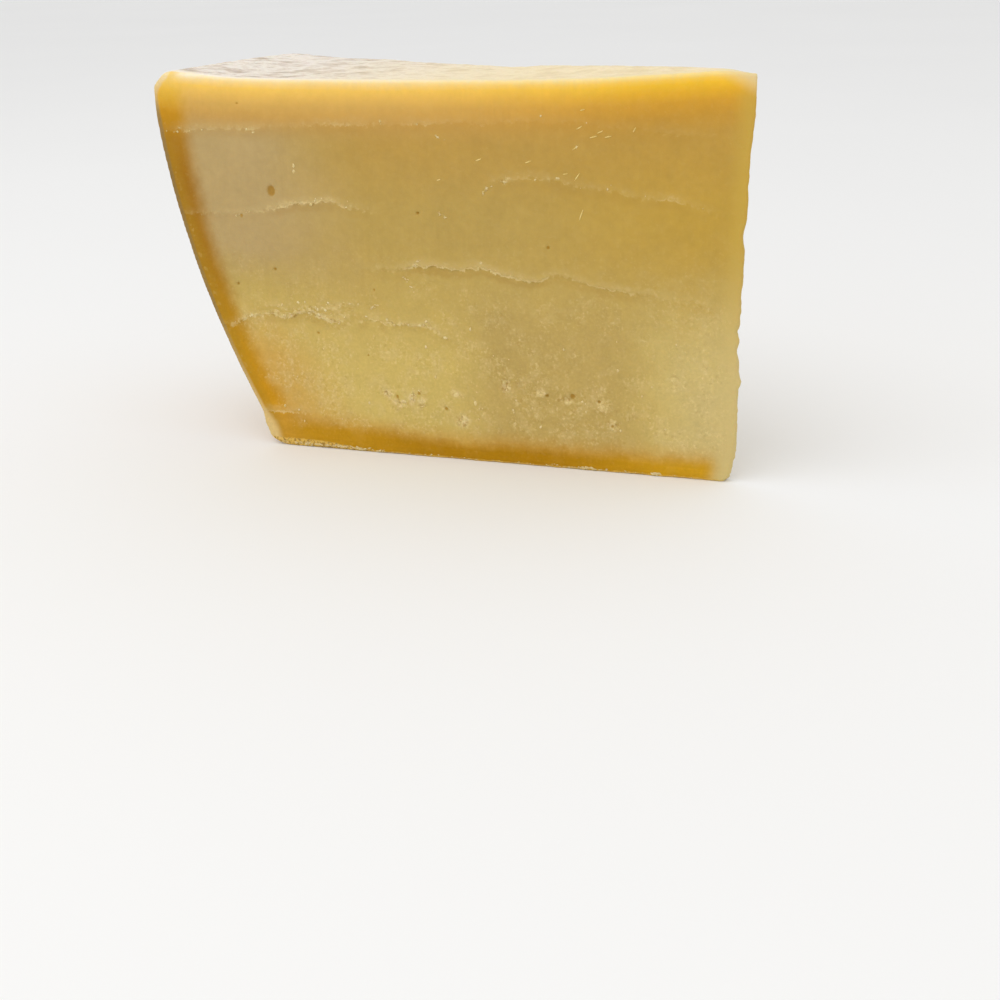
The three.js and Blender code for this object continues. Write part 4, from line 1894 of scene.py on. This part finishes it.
    def edges(
        self, graph: Graph, where: Whereabouts, colour: Shade, texture: Texture
    ) -> Shade:
        """The dry skin and crust at the rind, and the blunt tip.

        Args:
            graph: the material's graph.
            where: the place in the wheel.
            colour: the colour so far.
            texture: the paste's noises.

        Returns:
            The colour with the edges.
        """
        rough = 1.2 * MM * (texture.grain - 0.5) + 1 * MM * (texture.clod - 0.5)
        beads = abs(where.to_side - 2.1 * MM + rough).fall(0.2 * MM, 0.9 * MM)
        beads = beads * texture.blob.rise(0.48, 0.62) * where.to_top.rise(16 * MM, 40 * MM)
        khaki = (where.to_side + rough).fall(2 * MM, 6 * MM) * where.to_top.rise(12 * MM, 30 * MM)
        skin = graph.ramp(where.to_top / self.face_height, self.skin)
        skin = graph.brighten(skin, 0.78 + 0.44 * texture.clod)
        foot = where.height.fall(8 * MM, 14 * MM)
        bend = where.to_side.fall(4 * MM, 8 * MM) * where.to_top.fall(4 * MM, 8 * MM)
        width = 0.9 * MM + 1.8 * MM * foot
        beside = where.rim + 5 * MM * where.to_side.rise(5 * MM, 10 * MM) - 0.9 * MM * bend
        outside = (beside + 0.5 * MM * foot + (0.4 + 0.6 * foot) * rough) / width
        thick = 0.2 * MM + 2.1 * MM * where.radius.rise(130 * MM, 158 * MM)
        crust = (where.height + rough - thick).fall(0.2 * MM, 0.8 * MM)
        cracks = texture.clod.fall(0.44, 0.52) * where.radius.rise(110 * MM, 140 * MM)
        point = graph.attribute("point")
        blunt = graph.mix(self.tip, self.low_inner, where.height.fall(30 * MM, 85 * MM))
        end = (point + 1.5 * MM * (texture.grain - 0.5)).fall(0.5 * MM, 8 * MM)
        under = where.to_top.rise(2 * MM, 9 * MM)
        corner = (point + 1.8 * where.to_top).fall(3 * MM, 16 * MM)
        return graph.coats(
            colour,
            (self.bead, beads * texture.stain.rise(0.4, 0.6) * 0.45),
            (self.khaki, khaki * 0.45),
            (skin, outside.fall(0.4, 1.7) * 0.9),
            (self.crust, crust * 0.85),
            (self.crack, crust * cracks * 0.7),
            (blunt, end * under * 0.75),
            (self.corner, corner * 0.9),
        )


@dataclass(frozen=True)
class RindFinish:
    """The dry outside of the wheel: mottled beige on top, warmer round the side."""

    cream_and_highlight: Colour = paint(252, 240, 216)
    foot: Colour = paint(228, 192, 110)
    top_dark: Colour = paint(186, 168, 148)
    cream_and_highlight_inner: Colour = paint(236, 218, 170)
    top_inner: Colour = paint(246, 226, 176)
    painted_shade_top_tip: Colour = paint(210, 197, 162)
    side_dark: Colour = paint(160, 118, 58)
    edge: Colour = paint(140, 116, 68)
    # The mottling of the top and of the side, by how blotched a place is. The palest blotches of the
    # top are partly the rind's pale patches and partly painted highlights.
    top: Stops = tones(
        (0.36, 186, 168, 148), (0.46, 220, 206, 190), (0.53, 244, 236, 224), (0.62, 220, 206, 190),
        (0.7, 244, 236, 224),
    )
    side: Stops = tones(
        (0.34, 160, 118, 58), (0.46, 200, 156, 88), (0.58, 222, 184, 120), (0.7, 200, 156, 88),
    )
    cloth_pitch: float = 1.3 * MM

    def look(self, graph: Graph, where: Whereabouts) -> Look:
        """Builds the finish.

        Args:
            graph: the material's graph.
            where: the place in the wheel.

        Returns:
            Its colour, roughness and fine relief.
        """
        patches = graph.noise(14 * MM, 4, 0.62, warp=0.8)
        streaks = graph.noise(4 * MM, 4, 0.65, at=graph.moved(Vector(), (0.6, 1, 1)))
        pores = graph.noise(1.1 * MM, 3, 0.6)
        x, y, _ = graph.parts(graph.place)
        sway = 0.8 * MM * (graph.noise(3 * MM) - 0.5)
        cloth = (x + sway).wave(self.cloth_pitch) * (y + sway).wave(self.cloth_pitch)
        cloth = 0.5 + 0.5 * cloth
        blotch = 0.5 * patches + 0.5 * streaks
        lost = where.to_top + 5 * MM * (patches - 0.5)
        flat = lost.fall(3 * MM, 12 * MM).most(where.height.fall(0.5 * MM, 2.5 * MM))
        yellowed = where.radius.fall(80 * MM, 185 * MM) * flat
        # Near the tip the top is greyed with painted shade.
        point = graph.attribute("point").fall(2 * MM, 14 * MM) * flat
        colour = graph.coats(
            graph.ramp(blotch, self.side),
            (graph.ramp(blotch, self.top), flat),
            (self.top_inner, yellowed * 0.7),
            (self.painted_shade_top_tip, point * 0.7),
        )
        colour = graph.brighten(colour, 0.86 + 0.14 * pores + 0.05 * cloth)
        stray = 8 * MM * (streaks - 0.5)
        # Along the long cut the top is paler: partly the rind's own cream, partly a painted
        # highlight on the rounded edge.
        cream_and_highlight = graph.mix(self.cream_and_highlight, self.cream_and_highlight_inner, yellowed)
        spotted = graph.mix(self.foot, self.side_dark, pores.rise(0.5, 0.64) * 0.5)
        near_front = (where.behind + 0.6 * stray).fall(1.5 * MM, 6 * MM)
        near_back = where.gap.fall(0.6 * MM, 2 * MM) * where.behind.rise(5 * MM, 12 * MM)
        near_base = (where.gap + stray).fall(1 * MM, 3 * MM) * where.height.fall(5 * MM, 14 * MM)
        # Close to the cuts the side dries to the same dull line as the skin on them.
        near_edge = where.gap.fall(0.9 * MM, 2 * MM) * where.to_top.rise(5 * MM, 13 * MM)
        near_edge = near_edge * where.height.rise(6 * MM, 20 * MM)
        colour = graph.coats(
            colour,
            (cream_and_highlight, near_front * where.to_top.fall(3 * MM, 9 * MM) * 0.8),
            (self.top_dark, near_back * flat * 0.5),
            (spotted, near_base * 0.8),
            (self.edge, near_edge * 0.85),
        )
        height = MM * (0.1 * pores + 0.25 * streaks + 0.05 * cloth * flat)
        return Look(colour, 0.6 + 0.1 * streaks, height)


@dataclass(frozen=True)
class CheeseFinish:
    """The whole chunk's material: paste on the cuts and rind elsewhere."""

    paste: PasteFinish = field(default_factory=PasteFinish)
    rind: RindFinish = field(default_factory=RindFinish)

    def material(self, wheel: Wheel) -> bpy.types.Material:
        """Builds the material.

        Args:
            wheel: the wheel that the chunk is cut from.

        Returns:
            The material.
        """
        graph = Graph("cheese")
        where = Whereabouts.read(graph, wheel)
        paste = self.paste.look(graph, where)
        rind = self.rind.look(graph, where)
        skin = (where.gap + 0.5 * MM * (graph.noise(2 * MM) - 0.5)).rise(0.3 * MM, 0.9 * MM)
        colour = graph.mix(paste.colour, rind.colour, skin)
        roughness = paste.roughness + (rind.roughness - paste.roughness) * skin
        height = paste.height + (rind.height - paste.height) * skin
        return graph.finish(colour, roughness, height, 0.8, WAXY)


@dataclass(frozen=True)
class BitFinish:
    """The finish of one kind of bit: two colours in fine patches."""

    name: str
    light: Colour
    dark: Colour
    roughness: float = 0.55

    def material(self) -> bpy.types.Material:
        """Builds the material."""
        graph = Graph(self.name)
        patches = graph.noise(0.9 * MM, 3, 0.6)
        colour = graph.mix(self.dark, self.light, patches.rise(0.36, 0.6))
        return graph.finish(colour, self.roughness, MM * 0.06 * patches, 0.6, WAXY)


CRUMB_FINISH = BitFinish("crumbs", paint(230, 208, 152), paint(206, 174, 104))
CRYSTAL_FINISH = BitFinish("crystals", paint(230, 206, 148), paint(214, 184, 118))
SHAVING_FINISH = BitFinish("shavings", paint(242, 214, 134), paint(222, 188, 102))


# ---------------------------------------------------------------------------------------------
# Stage


@dataclass(frozen=True)
class Studio:
    """The pale floor, the soft light and the camera."""

    wheel: Wheel
    azimuth: float = math.radians(19.10)
    elevation: float = math.radians(20.78)
    roll: float = math.radians(-1.655)
    distance: float = 512.07 * MM
    aim_from_axis: tuple[float, float, float] = (-87.25 * MM, 0, -13.3 * MM)
    lens_mm: float = 54
    sensor_mm: float = 36
    nearest: float = 10 * MM       # what is nearer to the camera isn't drawn
    floor_size: float = 30
    floor_light: Colour = (0.9, 0.9, 0.895)
    floor_dark: Colour = (0.87, 0.87, 0.865)
    sky_strength: float = 0.86
    key_power: float = 6
    key_colour: Colour = (1.0, 0.985, 0.96)
    key_place: tuple[float, float, float] = (-0.35, -0.75, 1.25)
    key_aim: tuple[float, float, float] = (0, 0, 0.06)
    key_length: float = 1.6
    key_width: float = 1.0

    def camera(self) -> None:
        """Makes the camera and hands it to the scene."""
        bpy.ops.object.camera_add(location=(0, 0, 0))
        camera = bpy.context.object
        camera.name = "camera"
        camera.data.lens = self.lens_mm
        camera.data.sensor_width = self.sensor_mm
        camera.data.clip_start = self.nearest
        back = Vector((
            math.sin(self.azimuth) * math.cos(self.elevation),
            -math.cos(self.azimuth) * math.cos(self.elevation),
            math.sin(self.elevation),
        ))
        right = Vector((0, 0, 1)).cross(back).normalized()
        right.rotate(Matrix.Rotation(self.roll, 3, back))
        up = back.cross(right)
        turn = Matrix((right, up, back)).transposed()
        aim = self.wheel.axis + Vector(self.aim_from_axis)
        camera.matrix_world = Matrix.Translation(aim + back * self.distance) @ turn.to_4x4()
        bpy.context.scene.camera = camera

    def floor(self) -> bpy.types.Object:
        """Makes the floor that the chunk stands on.

        Returns:
            The floor.
        """
        bpy.ops.mesh.primitive_plane_add(size=self.floor_size, location=(0, 0, 0))
        floor = bpy.context.object
        floor.name = "floor"
        graph = Graph("floor")
        tint = graph.mix(self.floor_light, self.floor_dark, graph.noise(0.4))
        floor.data.materials.append(graph.finish(tint, 0.9))
        return floor

    def light(self) -> None:
        """Makes the pale surroundings and one broad soft light overhead."""
        world = bpy.data.worlds.new("surroundings")
        world.use_nodes = True
        background = world.node_tree.nodes["Background"]
        background.inputs["Color"].default_value = (1, 1, 1, 1)
        background.inputs["Strength"].default_value = self.sky_strength
        bpy.context.scene.world = world
        bpy.ops.object.light_add(type="AREA", location=self.key_place)
        key = bpy.context.object
        key.name = "key_light"
        key.data.shape = "RECTANGLE"
        key.data.size = self.key_length
        key.data.size_y = self.key_width
        key.data.energy = self.key_power
        key.data.color = self.key_colour
        toward = Vector(self.key_aim) - key.location
        key.rotation_euler = toward.to_track_quat("-Z", "Y").to_euler()

    def exposure(self) -> None:
        """Shows colours as they are, with no film curve."""
        view = bpy.context.scene.view_settings
        view.view_transform = "Standard"
        view.look = "None"
        view.exposure = 0
        view.gamma = 1

    def build(self) -> None:
        """Makes everything round the chunk."""
        self.camera()
        self.floor()
        self.light()
        self.exposure()


def declare(piece: bpy.types.Object, material: bpy.types.Material) -> None:
    """Gives a piece its material and its body, and reports it.

    Args:
        piece: the piece.
        material: what it is made of.
    """
    piece.data.materials.clear()
    piece.data.materials.append(material)
    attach(piece, BODY)
    LOG.info("%s: %d faces", piece.name, len(piece.data.polygons))


def strew(chunk: bpy.types.Object, wheel: Wheel) -> None:
    """Builds the crumbs, the crystals and the shavings on the chunk.

    Args:
        chunk: the finished chunk, whose surface they are sunk into.
        wheel: the wheel that it is cut from.
    """
    draw = BitDraw(wheel)
    crumbs = {
        Surface.FRONT: draw.crumbs(FRONT_RELIEF) + draw.rows(FRONT_ROWS),
        Surface.BACK: draw.crumbs(BACK_RELIEF) + draw.rows(BACK_ROWS),
    }
    crystals = {
        Surface.FRONT: bold_crystals() + draw.crystals(FRONT_RELIEF),
        Surface.BACK: draw.crystals(BACK_RELIEF),
    }
    slivers = {
        Surface.FRONT: shavings(FRONT_SHAVINGS),
        Surface.BACK: shavings(BACK_SHAVINGS),
    }
    piece = Bits("crumbs", BitShape.LUMP, chunk, wheel).build(crumbs)
    declare(piece, CRUMB_FINISH.material())
    piece = Bits("crystals", BitShape.LUMP, chunk, wheel, seed=2).build(crystals)
    declare(piece, CRYSTAL_FINISH.material())
    piece = Bits("shavings", BitShape.SLIVER, chunk, wheel, sunk=0.3, seed=3).build(slivers)
    declare(piece, SHAVING_FINISH.material())


def main() -> None:
    """Builds the dressed chunk and its surroundings, piece by piece."""
    logging.basicConfig(level=logging.INFO, format="%(name)s: %(message)s")
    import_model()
    low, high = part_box(NODE)
    wheel = Wheel.around(low, high)
    LOG.info("wheel axis at %s", [round(part, 4) for part in wheel.axis])
    Studio(wheel).build()

    chunk = Chunk(wheel, low, high).build()
    declare(chunk, CheeseFinish().material(wheel))
    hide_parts(NODE)
    strew(chunk, wheel)


if __name__ == "__main__":
    main()
